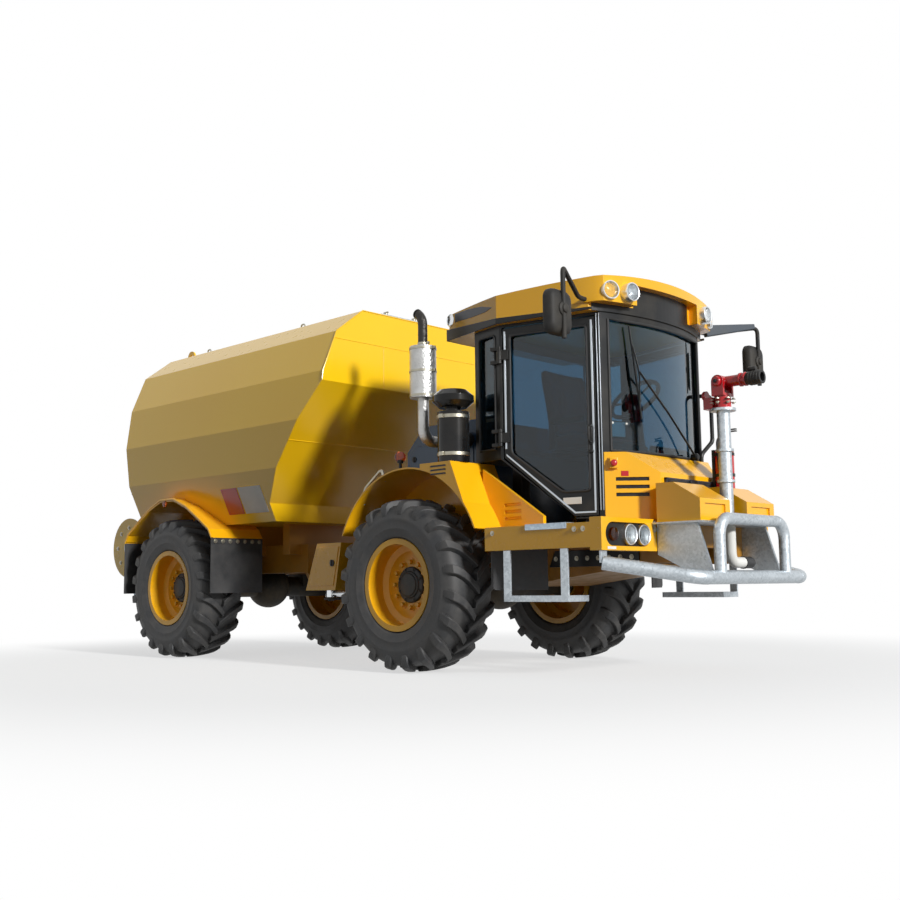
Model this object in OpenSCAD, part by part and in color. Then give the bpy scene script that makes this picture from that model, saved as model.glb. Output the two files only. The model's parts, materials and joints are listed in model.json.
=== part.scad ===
// Articulated water cart. The front unit carries the engine, cab and front work gear, the hitch
// steers and rolls in the middle, and the rear unit carries the water tank.
// +X is forward, +Y is left and +Z is up. The origin lies on the ground, midway along the length.

/* [Overall] */
// Front axle to rear axle
wheelbase = 3007; // [2950:1:3200]
// Front axle to the tip of the monitor nozzle
front_overhang = 2340; // [2320:1:2450]
// Rear axle to the back of the hose reel
rear_overhang = 1320; // [1300:1:1450]
// Front axle to the steering pivot
pivot_setback = 1400; // [1380:1:1420]
// Height of the roll axis in the hitch
roll_axis_z = 770; // [750:1:790]

/* [Wheels] */
// Tyre diameter over the lug tips
tyre_d = 1250; // [1200:1:1270]
// Tyre section width
tyre_w = 460; // [420:1:480]
// Rim diameter at the bead seats
rim_seat_d = 610; // [580:1:630]
// Rim diameter over the flanges
rim_flange_d = 666; // [650:1:680]
// Rim width over the flanges
rim_w = 410; // [390:1:430]
// Wheel centre to wheel centre across the axle
track = 1840; // [1800:1:1880]
// Hub diameter
hub_d = 260; // [220:1:280]
// Hub face in from the outer rim flange
hub_inset = 160; // [140:1:175]
// Axle tube diameter
axle_tube_d = 190; // [160:1:200]
// Stub shaft diameter in the hub
stub_d = 140; // [100:1:150]

/* [Frames] */
// Centre of each side rail from the middle
rail_y = 380; // [370:1:390]
// Width of a side rail
rail_w = 90; // [70:1:100]
// Underside of the side rails
rail_bottom = 745; // [735:1:760]
// Top of the side rails
rail_top = 995; // [980:1:1000]
// Steering pin diameter
pin_d = 90; // [70:1:100]
// Roll trunnion diameter
trunnion_d = 180; // [150:1:200]

/* [Tank] */
// Tank length from the back to the front face
tank_len = 2890; // [2800:1:2920]
// Tank width at the widest fold
tank_w = 2300; // [2200:1:2320]
// Underside of the tank
tank_bottom = 1170; // [1160:1:1180]
// Flat top of the tank
tank_top = 2870; // [2800:1:2950]
// Back of the tank behind the rear axle
tank_setback = 733; // [700:1:760]
// Lower edge of the upright front face
tank_brow_z = 2240; // [2200:1:2300]
// Front of the tank floor ahead of the rear axle
tank_foot_x = 1327; // [1290:1:1340]
// Top of the upright strip below the slanted front
tank_foot_z = 1320; // [1280:1:1360]

/* [Cab] */
// Back wall of the cab ahead of the front axle
cab_rear_x = 450; // [440:1:470]
// Rear post, where the door hinges
cab_post_x = 740; // [720:1:750]
// Front pillar
cab_pillar_x = 1490; // [1470:1:1500]
// Cab width at the back wall
cab_rear_w = 1480; // [1440:1:1500]
// Cab width at the rear post
cab_w = 1600; // [1560:1:1620]
// Cab width at the front pillars
cab_front_w = 1240; // [1200:1:1260]
// Bulge of the curved windscreen ahead of the pillars
screen_bulge = 110; // [60:1:130]
// Underside of the cab floor
cab_floor_z = 1050; // [1040:1:1060]
// Underside of the raised rear of the cab
cab_step_z = 1490; // [1480:1:1500]
// Top of the cab walls
cab_top_z = 2450; // [2420:1:2480]
// Height of the roof cap
roof_h = 270; // [220:1:290]
// Thickness of the cab walls and doors
cab_wall = 45; // [40:1:50]
// Thickness of the window glass
glass_t = 8; // [6:1:10]

/* [Front bodywork] */
// Radius of the front fender arch
fender_r = 748; // [730:1:765]
// Centre of the front fender arch above the ground
fender_axis_z = 723; // [715:1:735]
// Outer lip of the front fender from the middle
fender_lip_y = 1070; // [1050:1:1100]
// Side deck height
deck_z = 1000; // [996:1:1004]
// Outer edge of the side deck from the middle
deck_y = 1050; // [1030:1:1070]
// Front face of the lamp panels ahead of the front axle
lamp_panel_x = 1770; // [1760:1:1775]
// Front of the nose ahead of the front axle
nose_x = 1760; // [1740:1:1765]
// Width of the nose at its front
nose_front_w = 720; // [660:1:740]
// Nose height at its front edge
nose_front_z = 1350; // [1320:1:1370]
// Nose height at the windscreen
nose_rear_z = 1488; // [1470:1:1495]

/* [Front gear] */
// Tube diameter of the bull bar
bar_d = 89; // [76:1:95]
// Front run of the bull bar ahead of the front axle
bar_x = 2221; // [2215:1:2240]
// Height of the bull bar's front run
bar_z = 648; // [640:1:660]
// Half length of the straight front run
bar_half_w = 670; // [650:1:690]
// Half width of the hoop
hoop_half_w = 423; // [400:1:430]
// Height of the top of the hoop
hoop_z = 1020; // [1000:1:1060]
// Standpipe diameter
pipe_d = 89; // [76:1:95]
// Standpipe ahead of the front axle
pipe_x = 2040; // [2020:1:2050]
// Top of the standpipe
pipe_top_z = 1780; // [1740:1:1800]

/* [Hidden] */
$fn = 64;
// Overrun of every cut
over = 20;
// Gap between parts that seat on each other
seat_gap = 0.3;
// Running clearance of pins, shafts and rods
fit = 0.05;

// Places that follow from the driving sizes
front_axle_x = (wheelbase + rear_overhang - front_overhang) / 2;
rear_axle_x = front_axle_x - wheelbase;
pivot_x = front_axle_x - pivot_setback;
axle_z = tyre_d / 2;
rail_in = rail_y - rail_w / 2;
rail_out = rail_y + rail_w / 2;
roof_z = cab_top_z + roof_h;
fender_foot_z = deck_z + seat_gap;

// Block between two corners
module block(low, high) {
    translate(low) cube(high - low);
}

// Round bar from one point to another
module rod(start, end, r) {
    reach = end - start;
    length = norm(reach);
    translate(start)
        rotate([0, acos(reach.z / length), atan2(reach.y, reach.x)])
            cylinder(r = r, h = length);
}

function unit(v) = v / norm(v);

// Angle by which a route turns at its point i
function turn_at(points, i) =
    180 - acos(unit(points[i - 1] - points[i]) * unit(points[i + 1] - points[i]));

// Weld elbows stand proud of the tube that runs a little way into them
elbow_proud = 1;
elbow_lap = 6;

// Tube through a list of points, with a round elbow at each corner
module tube_run(points, r, bend_r) {
    last = len(points) - 1;
    trims = [for (i = [0 : last]) i == 0 || i == last ? 0 : bend_r * tan(turn_at(points, i) / 2)];
    laps = [for (i = [0 : last]) i == 0 || i == last ? 0 : elbow_lap];
    for (i = [0 : last - 1]) {
        along = unit(points[i + 1] - points[i]);
        rod(points[i] + (trims[i] - laps[i]) * along,
            points[i + 1] - (trims[i + 1] - laps[i + 1]) * along, r);
    }
    for (i = [1 : last - 1]) {
        back = unit(points[i - 1] - points[i]);
        ahead = unit(points[i + 1] - points[i]);
        centre = points[i] + unit(back + ahead) * bend_r / cos(turn_at(points, i) / 2);
        out = (points[i] + trims[i] * back - centre) / bend_r;
        axis = cross(out, -back);
        multmatrix([[out.x, -back.x, axis.x, centre.x], [out.y, -back.y, axis.y, centre.y],
            [out.z, -back.z, axis.z, centre.z]])
            rotate_extrude(angle = turn_at(points, i)) translate([bend_r, 0])
                circle(r = r + elbow_proud, $fn = 48);
    }
}

// Plate cut from an outline in X and Z, from y to y + t
module side_plate(y, t) {
    translate([0, y + t, 0]) rotate([90, 0, 0]) linear_extrude(t) children();
}

// Plate cut from an outline in Y and Z, from x to x + t
module cross_plate(x, t) {
    translate([x, 0, 0]) rotate([90, 0, 90]) linear_extrude(t) children();
}

// Cylinder along Y from y to y + w
module roller(y, w, r) {
    translate([0, y, 0]) rotate([-90, 0, 0]) cylinder(r = r, h = w);
}

// A shape and its mirror image on the other side
module both_sides() {
    children();
    mirror([0, 1, 0]) children();
}

module front_unit() {
    translate([front_axle_x, 0, 0]) children();
}

module rear_unit() {
    translate([rear_axle_x, 0, 0]) children();
}

// Half of a symmetric outline, closed by its mirror image in the first coordinate
function closed(half) = concat(half, [for (i = [len(half) - 1 : -1 : 0]) [-half[i].x, half[i].y]]);

// Wheels: profile columns are the share of half the section width and of the sidewall height
tyre_shares = [[0.80, 0], [0.80, 0.11], [0.91, 0.16], [0.985, 0.36], [1, 0.52], [0.975, 0.72],
    [0.93, 0.86], [0.83, 1]];
rim_flange_t = 20;
rim_well_d = 520;
rim_wall = 14;
rim_disc_t = 18;
hub_len = 165;
hub_bore_floor = 30;
hub_cap_share = 0.6;
hub_cap_t = 14;
hub_face = rim_w / 2 - hub_inset;

module tyre_shape() {
    height = tyre_d / 2 - rim_seat_d / 2 - seat_gap;
    rotate([90, 0, 0]) rotate_extrude($fn = 96) rotate(90)
        polygon([for (p = closed(tyre_shares))
            [p.x * tyre_w / 2, -rim_seat_d / 2 - seat_gap - p.y * height]]);
}

// Rim with its dished disc and hub, the hub face towards +Y
module rim_shape() {
    half = rim_w / 2;
    seat = rim_seat_d / 2;
    well = rim_well_d / 2;
    lip = rim_flange_d / 2;
    disc_in = hub_face - rim_disc_t;
    rotate([-90, 0, 0]) difference() {
        union() {
            rotate_extrude($fn = 96) polygon([
                [lip, half], [lip, half - rim_flange_t], [seat, half - rim_flange_t],
                [seat, hub_face + rim_flange_t], [well, hub_face], [well, -hub_face],
                [seat, -hub_face - rim_flange_t], [seat, rim_flange_t - half],
                [lip, rim_flange_t - half], [lip, -half], [seat - rim_wall, -half],
                [seat - rim_wall, -hub_face - rim_flange_t], [well - rim_wall, -hub_face],
                [well - rim_wall, disc_in], [0, disc_in], [0, hub_face],
                [well - rim_wall, hub_face], [seat - rim_wall, hub_face + rim_flange_t],
                [seat - rim_wall, half]]);
            translate([0, 0, hub_face - hub_len]) cylinder(d = hub_d, h = hub_len);
            cylinder(d = hub_d * hub_cap_share, h = hub_face + hub_cap_t);
        }
        translate([0, 0, hub_face - hub_len - over])
            cylinder(d = stub_d + 2 * fit, h = hub_len - hub_bore_floor + over);
    }
}

// Sets a wheel on its stub: side is 1 on the left and -1 on the right
module on_stub(axle_x, side) {
    translate([axle_x, side * track / 2, axle_z]) rotate(side > 0 ? 0 : 180) children();
}

// Axle with its differential, spring seats and the two stubs
axle_diff_r = 200;
axle_seat_len = 240;
axle_stub_floor = 6;
axle_flange_d = 240;
axle_flange_t = 20;
axle_hub_gap = 8;

module axle_shape() {
    hub_in = track / 2 + hub_face - hub_len;
    tube_end = hub_in - axle_hub_gap;
    stub_end = track / 2 + hub_face - hub_bore_floor - axle_stub_floor;
    translate([0, 0, axle_z]) {
        roller(-tube_end, 2 * tube_end, axle_tube_d / 2);
        roller(-stub_end, 2 * stub_end, stub_d / 2);
        sphere(r = axle_diff_r);
        both_sides() roller(tube_end - axle_flange_t, axle_flange_t, axle_flange_d / 2);
    }
    both_sides() block([-axle_seat_len / 2, rail_in, axle_z], [axle_seat_len / 2, rail_out, rail_bottom]);
}

// Front frame
frame_rear_x = -1000;
frame_front_x = 1900;
frame_cross_len = 80;
frame_cross_low = 850;
frame_cross_shares = [0, 0.28, 0.46, 0.68, 0.97];
yoke_box_len = 80;
yoke_low_z = 430;
yoke_t = 40;
yoke_r = 115;
yoke_root_w = 440;
yoke_neck_w = 460;
engine_deck_x = [-470, 330];
engine_deck_y = 600;
engine_deck_t = 20;
outrigger_x = -900;
outrigger_len = 80;
outrigger_z = [790, 880];
side_box_in = 620;
// Steering cylinders: frame pin and rod eye, measured from the steering pivot
ram_pin_x = 840;
ram_eye_x = -220;
ram_y = 370;
ram_z = 560;
ram_pin_d = 50;
ram_eye_r = 48;
ram_eye_h = 60;
ram_lug_t = 20;
ram_lug_gap = 5;
ram_lug_r = 60;
ram_barrel_r = 50;
ram_barrel_len = 695;
ram_rod_r = 28;
ram_rod_inside = 330;
ram_bore_floor = 100;
ram_bracket_len = 170;
ram_lug_in = ram_eye_h / 2 + ram_lug_gap;
ram_lug_out = ram_lug_in + ram_lug_t;

module yoke_plate(z) {
    translate([0, 0, z]) linear_extrude(yoke_t) difference() {
        union() {
            translate([-pivot_setback, 0]) circle(r = yoke_r);
            polygon([[-pivot_setback, -yoke_r], [-pivot_setback, yoke_r],
                [frame_rear_x, yoke_root_w / 2], [frame_rear_x, -yoke_root_w / 2]]);
        }
        translate([-pivot_setback, 0]) circle(d = pin_d + 2 * fit);
    }
}

// Two ears above and below a cylinder eye
module ram_ears(x, y, root_x) {
    for (z = [ram_z - ram_lug_out, ram_z + ram_lug_in])
        translate([0, 0, z]) linear_extrude(ram_lug_t) {
            translate([x, y]) circle(r = ram_lug_r);
            translate([min(x, root_x), y - ram_lug_r]) square([abs(root_x - x), 2 * ram_lug_r]);
        }
}

module front_frame() color("#8a6a12") front_unit() {
    length = frame_front_x - frame_rear_x;
    both_sides() {
        block([frame_rear_x, rail_in, rail_bottom], [frame_front_x, rail_out, rail_top]);
        block([outrigger_x, rail_out, outrigger_z[0]],
            [outrigger_x + outrigger_len, side_box_in, outrigger_z[1]]);
    }
    for (share = frame_cross_shares)
        translate([frame_rear_x + share * length, 0, 0])
            block([0, -rail_in, frame_cross_low], [frame_cross_len, rail_in, rail_top]);
    cross_plate(frame_rear_x - yoke_box_len, yoke_box_len)
        polygon(closed([[yoke_neck_w / 2, yoke_low_z], [yoke_neck_w / 2, rail_bottom],
            [rail_out, rail_bottom], [rail_out, rail_top]]));
    yoke_plate(yoke_low_z);
    yoke_plate(rail_top - yoke_t);
    block([engine_deck_x[0], -engine_deck_y, rail_top - engine_deck_t],
        [engine_deck_x[1], engine_deck_y, rail_top]);
    pin_at = ram_pin_x - pivot_setback;
    both_sides() {
        ram_ears(pin_at, ram_y, pin_at + ram_bracket_len);
        translate([pin_at, ram_y, ram_z - ram_lug_out]) cylinder(d = ram_pin_d, h = 2 * ram_lug_out);
        block([pin_at + ram_bracket_len - ram_lug_t, ram_y - ram_lug_r, ram_z - ram_lug_out],
            [pin_at + ram_bracket_len, ram_y + ram_lug_r, rail_bottom + ram_lug_t]);
    }
}

module front_axle() color("#3a3a36") front_unit() axle_shape();

// Engine block on the rails
engine_x = [-400, 240];
engine_half_w = 330;
engine_top_z = 1460;

module engine() color("#4a4d50") front_unit()
    block([engine_x[0], -engine_half_w, rail_top], [engine_x[1], engine_half_w, engine_top_z]);

// Engine hood: a folded sheet cover, open below, with a slotted back
hood_x = [-445, 300];
hood_half_w = 570;
hood_top_z = 1850;
hood_wall = 14;
hood_slope = 190;
hood_slots = 7;
hood_slot_h = 34;
hood_slot_half_w = 430;
hood_slot_pitch = 80;
hood_slot_z = 1080;

module hood_outline(inset) {
    polygon([[hood_x[0] + inset, rail_top - (inset > 0 ? over : 0)],
        [hood_x[0] + inset, hood_top_z - hood_slope - inset],
        [hood_x[0] + hood_slope + inset, hood_top_z - inset],
        [hood_x[1] - inset, hood_top_z - inset],
        [hood_x[1] - inset, rail_top - (inset > 0 ? over : 0)]]);
}

module engine_hood() color("#1d2733") front_unit() difference() {
    side_plate(-hood_half_w, 2 * hood_half_w) hood_outline(0);
    side_plate(hood_wall - hood_half_w, 2 * (hood_half_w - hood_wall)) hood_outline(hood_wall);
    for (i = [0 : hood_slots - 1])
        translate([0, 0, hood_slot_z + i * hood_slot_pitch])
            block([hood_x[0] - over, -hood_slot_half_w, 0],
                [hood_x[0] + hood_wall + over, hood_slot_half_w, hood_slot_h]);
}

// Front fenders: arch, inner wall, louvred box and the ramp down to the side deck
fender_x = 35;
fender_t = 12;
fender_in_y = 600;
fender_wall = 18;
fender_box_x = [200, 500];
fender_box_drop = 6;
fender_box_z = cab_step_z - fender_box_drop;
fender_ramp_x = 690;
fender_skirt_y = [765, 795];
fender_skirt_x = [560, 1105];
fender_skirt_z = [1435, 1075];
louvres = 3;
louvre_len = 150;
louvre_h = 22;
louvre_pitch = 48;
louvre_depth = 14;
louvre_x = 760;
louvre_z = 1060;

module fender_arch(r) {
    intersection() {
        translate([fender_x, fender_axis_z]) circle(r = r, $fn = 128);
        translate([fender_x - r, fender_foot_z]) square([2 * r, r]);
    }
}

module front_fenders() color("#e8a90c") front_unit() both_sides() {
    side_plate(fender_in_y, fender_lip_y - fender_in_y) difference() {
        union() {
            fender_arch(fender_r);
            polygon([[fender_box_x[0], fender_foot_z], [fender_box_x[0], fender_box_z],
                [fender_box_x[1], fender_box_z], [fender_ramp_x, fender_foot_z + 2 * fender_t],
                [fender_ramp_x, fender_foot_z]]);
        }
        translate([fender_x, fender_axis_z]) circle(r = fender_r - fender_t, $fn = 128);
    }
    side_plate(fender_in_y, fender_wall) fender_arch(fender_r - fender_t / 2);
    difference() {
        side_plate(fender_skirt_y[0], fender_skirt_y[1] - fender_skirt_y[0])
            polygon([[fender_skirt_x[0], fender_foot_z], [fender_skirt_x[0], fender_skirt_z[0]],
                [fender_skirt_x[1], fender_skirt_z[1]], [fender_skirt_x[1], fender_foot_z]]);
        for (i = [0 : louvres - 1])
            translate([louvre_x, fender_skirt_y[1] - louvre_depth, louvre_z + i * louvre_pitch])
                cube([louvre_len, louvre_depth + over, louvre_h]);
    }
}

// Side decks with their outer beams and the lamp panels in front
deck_x = 800;
deck_t = 20;
beam_low_z = 842;
beam_t = 22;
lamp_panel_t = 90;
lamp_panel_z = [822, 1030];
lamp_panel_in = 432;
lamp_recess = [26, 150];
lamp_recess_y = [515, 1005];
lamp_z = 925;
deck_arm_shares = [0.12, 0.8];
deck_arm_len = 70;
deck_arm_h = 110;

module side_decks() color("#e0a30d") front_unit() both_sides() {
    block([deck_x, rail_out, deck_z - deck_t], [lamp_panel_x - lamp_panel_t, deck_y, deck_z]);
    block([deck_x, deck_y - beam_t, beam_low_z], [lamp_panel_x - lamp_panel_t, deck_y, deck_z]);
    for (share = deck_arm_shares)
        translate([deck_x + share * (lamp_panel_x - deck_x), 0, 0])
            block([0, rail_out, deck_z - deck_arm_h], [deck_arm_len, deck_y, deck_z]);
    difference() {
        block([lamp_panel_x - lamp_panel_t, lamp_panel_in, lamp_panel_z[0]],
            [lamp_panel_x, deck_y, lamp_panel_z[1]]);
        cross_plate(lamp_panel_x - lamp_recess[0], lamp_recess[0] + over) {
            ends = [lamp_recess_y[0] + lamp_recess[1] / 2, lamp_recess_y[1] - lamp_recess[1] / 2];
            translate([ends[0], lamp_z - lamp_recess[1] / 2]) square([ends[1] - ends[0], lamp_recess[1]]);
            for (y = ends)
                translate([y, lamp_z]) circle(d = lamp_recess[1]);
        }
    }
}

// Lamps: two round headlamps and a square indicator in each panel
headlamp_d = 124;
headlamp_y = [590, 740];
indicator_y = [860, 950];
indicator_h = 90;
lamp_proud = 6;

module front_lamps() color("#dfe6ea") front_unit() both_sides() {
    back = lamp_panel_x - lamp_recess[0];
    for (y = headlamp_y)
        translate([back, y, lamp_z]) rotate([0, 90, 0])
            rotate_extrude() polygon([[0, 0], [headlamp_d / 2, 0], [headlamp_d / 2, lamp_recess[0]],
                [headlamp_d / 2 - lamp_proud, lamp_recess[0] + lamp_proud], [0, lamp_recess[0]]]);
    block([back, indicator_y[0], lamp_z - indicator_h / 2],
        [lamp_panel_x + lamp_proud, indicator_y[1], lamp_z + indicator_h / 2]);
}

// Hanging steps: two straps and a tread on each side
step_x = [960, 1500];
step_strap_w = 60;
step_strap_t = 12;
step_z = 545;
step_tread_w = 200;
step_tread_t = 40;

module steps() color("#9aa0a3") front_unit() both_sides() {
    outer = deck_y - beam_t / 2 - step_strap_t / 2;
    for (x = [step_x[0], step_x[1] - step_strap_w])
        block([x, outer, step_z], [x + step_strap_w, outer + step_strap_t, beam_low_z]);
    block([step_x[0], outer - step_tread_w, step_z - step_tread_t],
        [step_x[1], outer + step_strap_t, step_z]);
}

// Cab: plan and side profile, with the same outlines drawn smaller for the inside
cab_slope_x = 1290;
cab_leg_x = 520;
cab_pad_x = 1390;
cab_pad_len = 90;
door_gap = 9;
screen_edge = 60;
screen_z = [1500, 2400];
quarter_x = [500, 690];
quarter_z = [1570, 2390];
rear_screen_half_w = 560;
rear_screen_z = [1620, 2380];
front_half = cab_front_w / 2;
screen_r = (front_half * front_half + screen_bulge * screen_bulge) / (2 * screen_bulge);
door_turn = atan2((cab_w - cab_front_w) / 2, cab_pillar_x - cab_post_x);

module cab_plan(inset) {
    half = front_half - inset;
    intersection() {
        polygon([[cab_rear_x + inset, cab_rear_w / 2 - inset], [cab_post_x, cab_w / 2 - inset],
            [cab_pillar_x, half], [cab_pillar_x + screen_bulge, half],
            [cab_pillar_x + screen_bulge, -half], [cab_pillar_x, -half],
            [cab_post_x, inset - cab_w / 2], [cab_rear_x + inset, inset - cab_rear_w / 2]]);
        translate([cab_pillar_x + screen_bulge - screen_r, 0]) circle(r = screen_r - inset, $fn = 180);
    }
}

module cab_profile(inset) {
    front = cab_pillar_x + screen_bulge + over;
    polygon([[cab_rear_x - over, cab_step_z + inset], [cab_post_x + inset / 2, cab_step_z + inset],
        [cab_slope_x + inset / 2, cab_floor_z + inset], [front, cab_floor_z + inset],
        [front, cab_top_z + inset], [cab_rear_x - over, cab_top_z + inset]]);
}

module cab_volume(inset) {
    intersection() {
        linear_extrude(cab_top_z + inset) cab_plan(inset);
        side_plate(-cab_w, 2 * cab_w) cab_profile(inset);
    }
}

// Door outline in the door's own plane: along the door from the hinge post, and up
door_len = (cab_pillar_x - cab_post_x) / cos(door_turn);
door_start = 30;
door_end_margin = 45;
door_end = door_len - door_end_margin;
door_low_z = 1068;
door_high_z = 2420;
door_slope_start_z = 1500;
door_slope_end_share = 0.72;
door_frame_w = 55;
door_panel_z = 1180;
// Door hinges: axis in the door's plane, then knuckles on the door and pins on the post
hinge_along = 8;
hinge_out = 18;
hinge_pin_d = 22;
hinge_knuckle_r = 17;
hinge_knuckle_h = 70;
hinge_ear_h = 25;
hinge_ear_gap = 1;
hinge_leaf = 70;
hinge_z = [1640, 2230];

module door_outline(grow) {
    slope_end = door_len * door_slope_end_share;
    polygon([[door_start - grow, door_high_z + grow], [door_end + grow, door_high_z + grow],
        [door_end + grow, door_low_z - grow], [slope_end - grow / 2, door_low_z - grow],
        [door_start - grow, door_slope_start_z - grow]]);
}

module door_window(grow) {
    run = door_len * door_slope_end_share - door_start;
    drop = door_slope_start_z - door_low_z;
    cut = run * (door_slope_start_z - door_panel_z) / drop;
    polygon([[door_start + door_frame_w - grow, door_high_z - door_frame_w + grow],
        [door_end - door_frame_w + grow, door_high_z - door_frame_w + grow],
        [door_end - door_frame_w + grow, door_panel_z + door_frame_w - grow],
        [door_start + cut + door_frame_w - grow / 2, door_panel_z + door_frame_w - grow],
        [door_start + door_frame_w - grow, door_slope_start_z + door_frame_w / 2 - grow]]);
}

// Plane of the right door: origin at the rear post, x along the door, outer face at y = 0
module in_right_door() {
    translate([cab_post_x, -cab_w / 2, 0]) rotate(door_turn) children();
}

// Fixed half of a door hinge: two ears with the pin between them
module hinge_ears() {
    reach = hinge_knuckle_h / 2 + hinge_ear_gap + hinge_ear_h;
    for (z = hinge_z) translate([hinge_along, -hinge_out, z]) {
        translate([0, 0, -reach]) cylinder(d = hinge_pin_d, h = 2 * reach);
        for (low = [-reach, reach - hinge_ear_h])
            translate([0, 0, low]) {
                cylinder(r = hinge_knuckle_r, h = hinge_ear_h);
                block([-hinge_leaf, 0, 0], [0, hinge_out + cab_wall / 2, hinge_ear_h]);
            }
    }
}

module cab_shell() color("#16181a") front_unit() {
    both_sides() in_right_door() hinge_ears();
    difference() {
        cab_volume(0);
        cab_volume(cab_wall);
        both_sides() in_right_door() side_plate(-over, cab_wall + 2 * over) door_outline(door_gap);
        block([quarter_x[0], -cab_w, quarter_z[0]], [quarter_x[1], cab_w, quarter_z[1]]);
        block([cab_rear_x - over, -rear_screen_half_w, rear_screen_z[0]],
            [cab_rear_x + cab_wall + over, rear_screen_half_w, rear_screen_z[1]]);
        block([cab_pillar_x - cab_wall, screen_edge - front_half, screen_z[0]],
            [cab_pillar_x + screen_bulge + over, front_half - screen_edge, screen_z[1]]);
    }
    both_sides() {
        block([cab_leg_x, rail_in, rail_top], [cab_leg_x + cab_pad_len, rail_out, cab_step_z]);
        block([cab_pad_x, rail_in, rail_top], [cab_pad_x + cab_pad_len, rail_out, cab_floor_z]);
    }
}

// Glass: curved windscreen, rear quarter panes and the rear window, each set in its opening
module glass_ring() {
    difference() {
        cab_plan((cab_wall - glass_t) / 2);
        cab_plan((cab_wall + glass_t) / 2);
    }
}

module cab_glass() color("#5f7f8c") front_unit() {
    z0 = screen_z[0] + seat_gap;
    intersection() {
        translate([0, 0, z0]) linear_extrude(screen_z[1] - seat_gap - z0) glass_ring();
        block([cab_pillar_x - cab_wall + seat_gap, screen_edge + seat_gap - front_half, 0],
            [cab_pillar_x + screen_bulge, front_half - screen_edge - seat_gap, cab_top_z]);
    }
    q0 = quarter_z[0] + seat_gap;
    intersection() {
        translate([0, 0, q0]) linear_extrude(quarter_z[1] - seat_gap - q0) glass_ring();
        block([quarter_x[0] + seat_gap, -cab_w, 0], [quarter_x[1] - seat_gap, cab_w, cab_top_z]);
    }
    glass_x = cab_rear_x + (cab_wall - glass_t) / 2;
    block([glass_x, seat_gap - rear_screen_half_w, rear_screen_z[0] + seat_gap],
        [glass_x + glass_t, rear_screen_half_w - seat_gap, rear_screen_z[1] - seat_gap]);
}

// Roof cap with its visor, stepped brow and four round lamps
roof_rear_x = 130;
roof_rear_half_w = 700;
roof_mid_x = 760;
roof_mid_half_w = 850;
roof_front_x = 1560;
roof_front_half_w = 700;
roof_visor_bulge = 110;
roof_edge_share = 0.55;
roof_top_inset = 130;
roof_lamp_d = 130;
roof_lamp_z = 2575;
// Columns: place ahead of the front axle, place from the middle, turn outwards
roof_lamps_at = [[1612, 470, 8], [1548, 610, 22]];
roof_lamp_len = 60;

module roof_plan(inset) {
    half = roof_front_half_w - inset;
    bulge_r = (half * half + roof_visor_bulge * roof_visor_bulge) / (2 * roof_visor_bulge);
    polygon([[roof_rear_x + inset, roof_rear_half_w - inset], [roof_mid_x, roof_mid_half_w - inset],
        [roof_front_x - inset, half], [roof_front_x - inset, -half],
        [roof_mid_x, inset - roof_mid_half_w], [roof_rear_x + inset, inset - roof_rear_half_w]]);
    intersection() {
        translate([roof_front_x - inset + roof_visor_bulge - bulge_r, 0]) circle(r = bulge_r, $fn = 180);
        translate([roof_front_x - inset, -half]) square([roof_visor_bulge, 2 * half]);
    }
}

module roof_lamp_place() {
    for (at = roof_lamps_at)
        translate([at.x, at.y, roof_lamp_z]) rotate(at.z) rotate([0, 90, 0]) children();
}

module cab_roof() color("#eab010") front_unit() difference() {
    union() {
        translate([0, 0, cab_top_z]) linear_extrude(roof_h * roof_edge_share) roof_plan(0);
        translate([0, 0, cab_top_z]) linear_extrude(roof_h * (1 + roof_edge_share) / 2)
            roof_plan(roof_top_inset / 3);
        translate([0, 0, cab_top_z]) linear_extrude(roof_h) roof_plan(roof_top_inset);
    }
    both_sides() roof_lamp_place() cylinder(d = roof_lamp_d, h = roof_lamp_len + roof_visor_bulge);
}

module roof_lamps() color("#e6ecef") front_unit() both_sides() roof_lamp_place()
    cylinder(d = roof_lamp_d - 2 * seat_gap, h = roof_lamp_len);

// Doors: framed panel and its pane
module door_right() color("#141618") front_unit() in_right_door() difference() {
    union() {
        difference() {
            side_plate(0, cab_wall) door_outline(0);
            side_plate(-over, cab_wall + 2 * over) door_window(0);
        }
        for (z = hinge_z) translate([hinge_along, -hinge_out, z - hinge_knuckle_h / 2]) {
            cylinder(r = hinge_knuckle_r, h = hinge_knuckle_h);
            block([0, 0, 0], [hinge_leaf, hinge_out, hinge_knuckle_h]);
        }
    }
    for (z = hinge_z) translate([hinge_along, -hinge_out, z - hinge_knuckle_h / 2 - over])
        cylinder(d = hinge_pin_d + 2 * fit, h = hinge_knuckle_h + 2 * over);
}

module door_glass_right() color("#46606b") front_unit() in_right_door()
    side_plate((cab_wall - glass_t) / 2, glass_t) door_window(-seat_gap);

module door_left() mirror([0, 1, 0]) door_right();

module door_glass_left() mirror([0, 1, 0]) door_glass_right();

// Nose below the windscreen, with louvres in its slanted cheeks
nose_low_z = 1035;
nose_louvres = 3;
nose_louvre_h = 24;
nose_louvre_pitch = 52;
nose_louvre_z = 1190;
nose_louvre_depth = 18;
nose_louvre_len_share = 0.6;
grille_half_w = 310;
grille_z = [1085, 1310];
grille_t = 14;
grille_bars = 9;
grille_bar_share = 0.45;
grille_first_share = 0.75;
nose_rear_half = front_half;
nose_cheek_run = 5;
nose_cheek_x = cab_pillar_x + nose_cheek_run;

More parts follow.
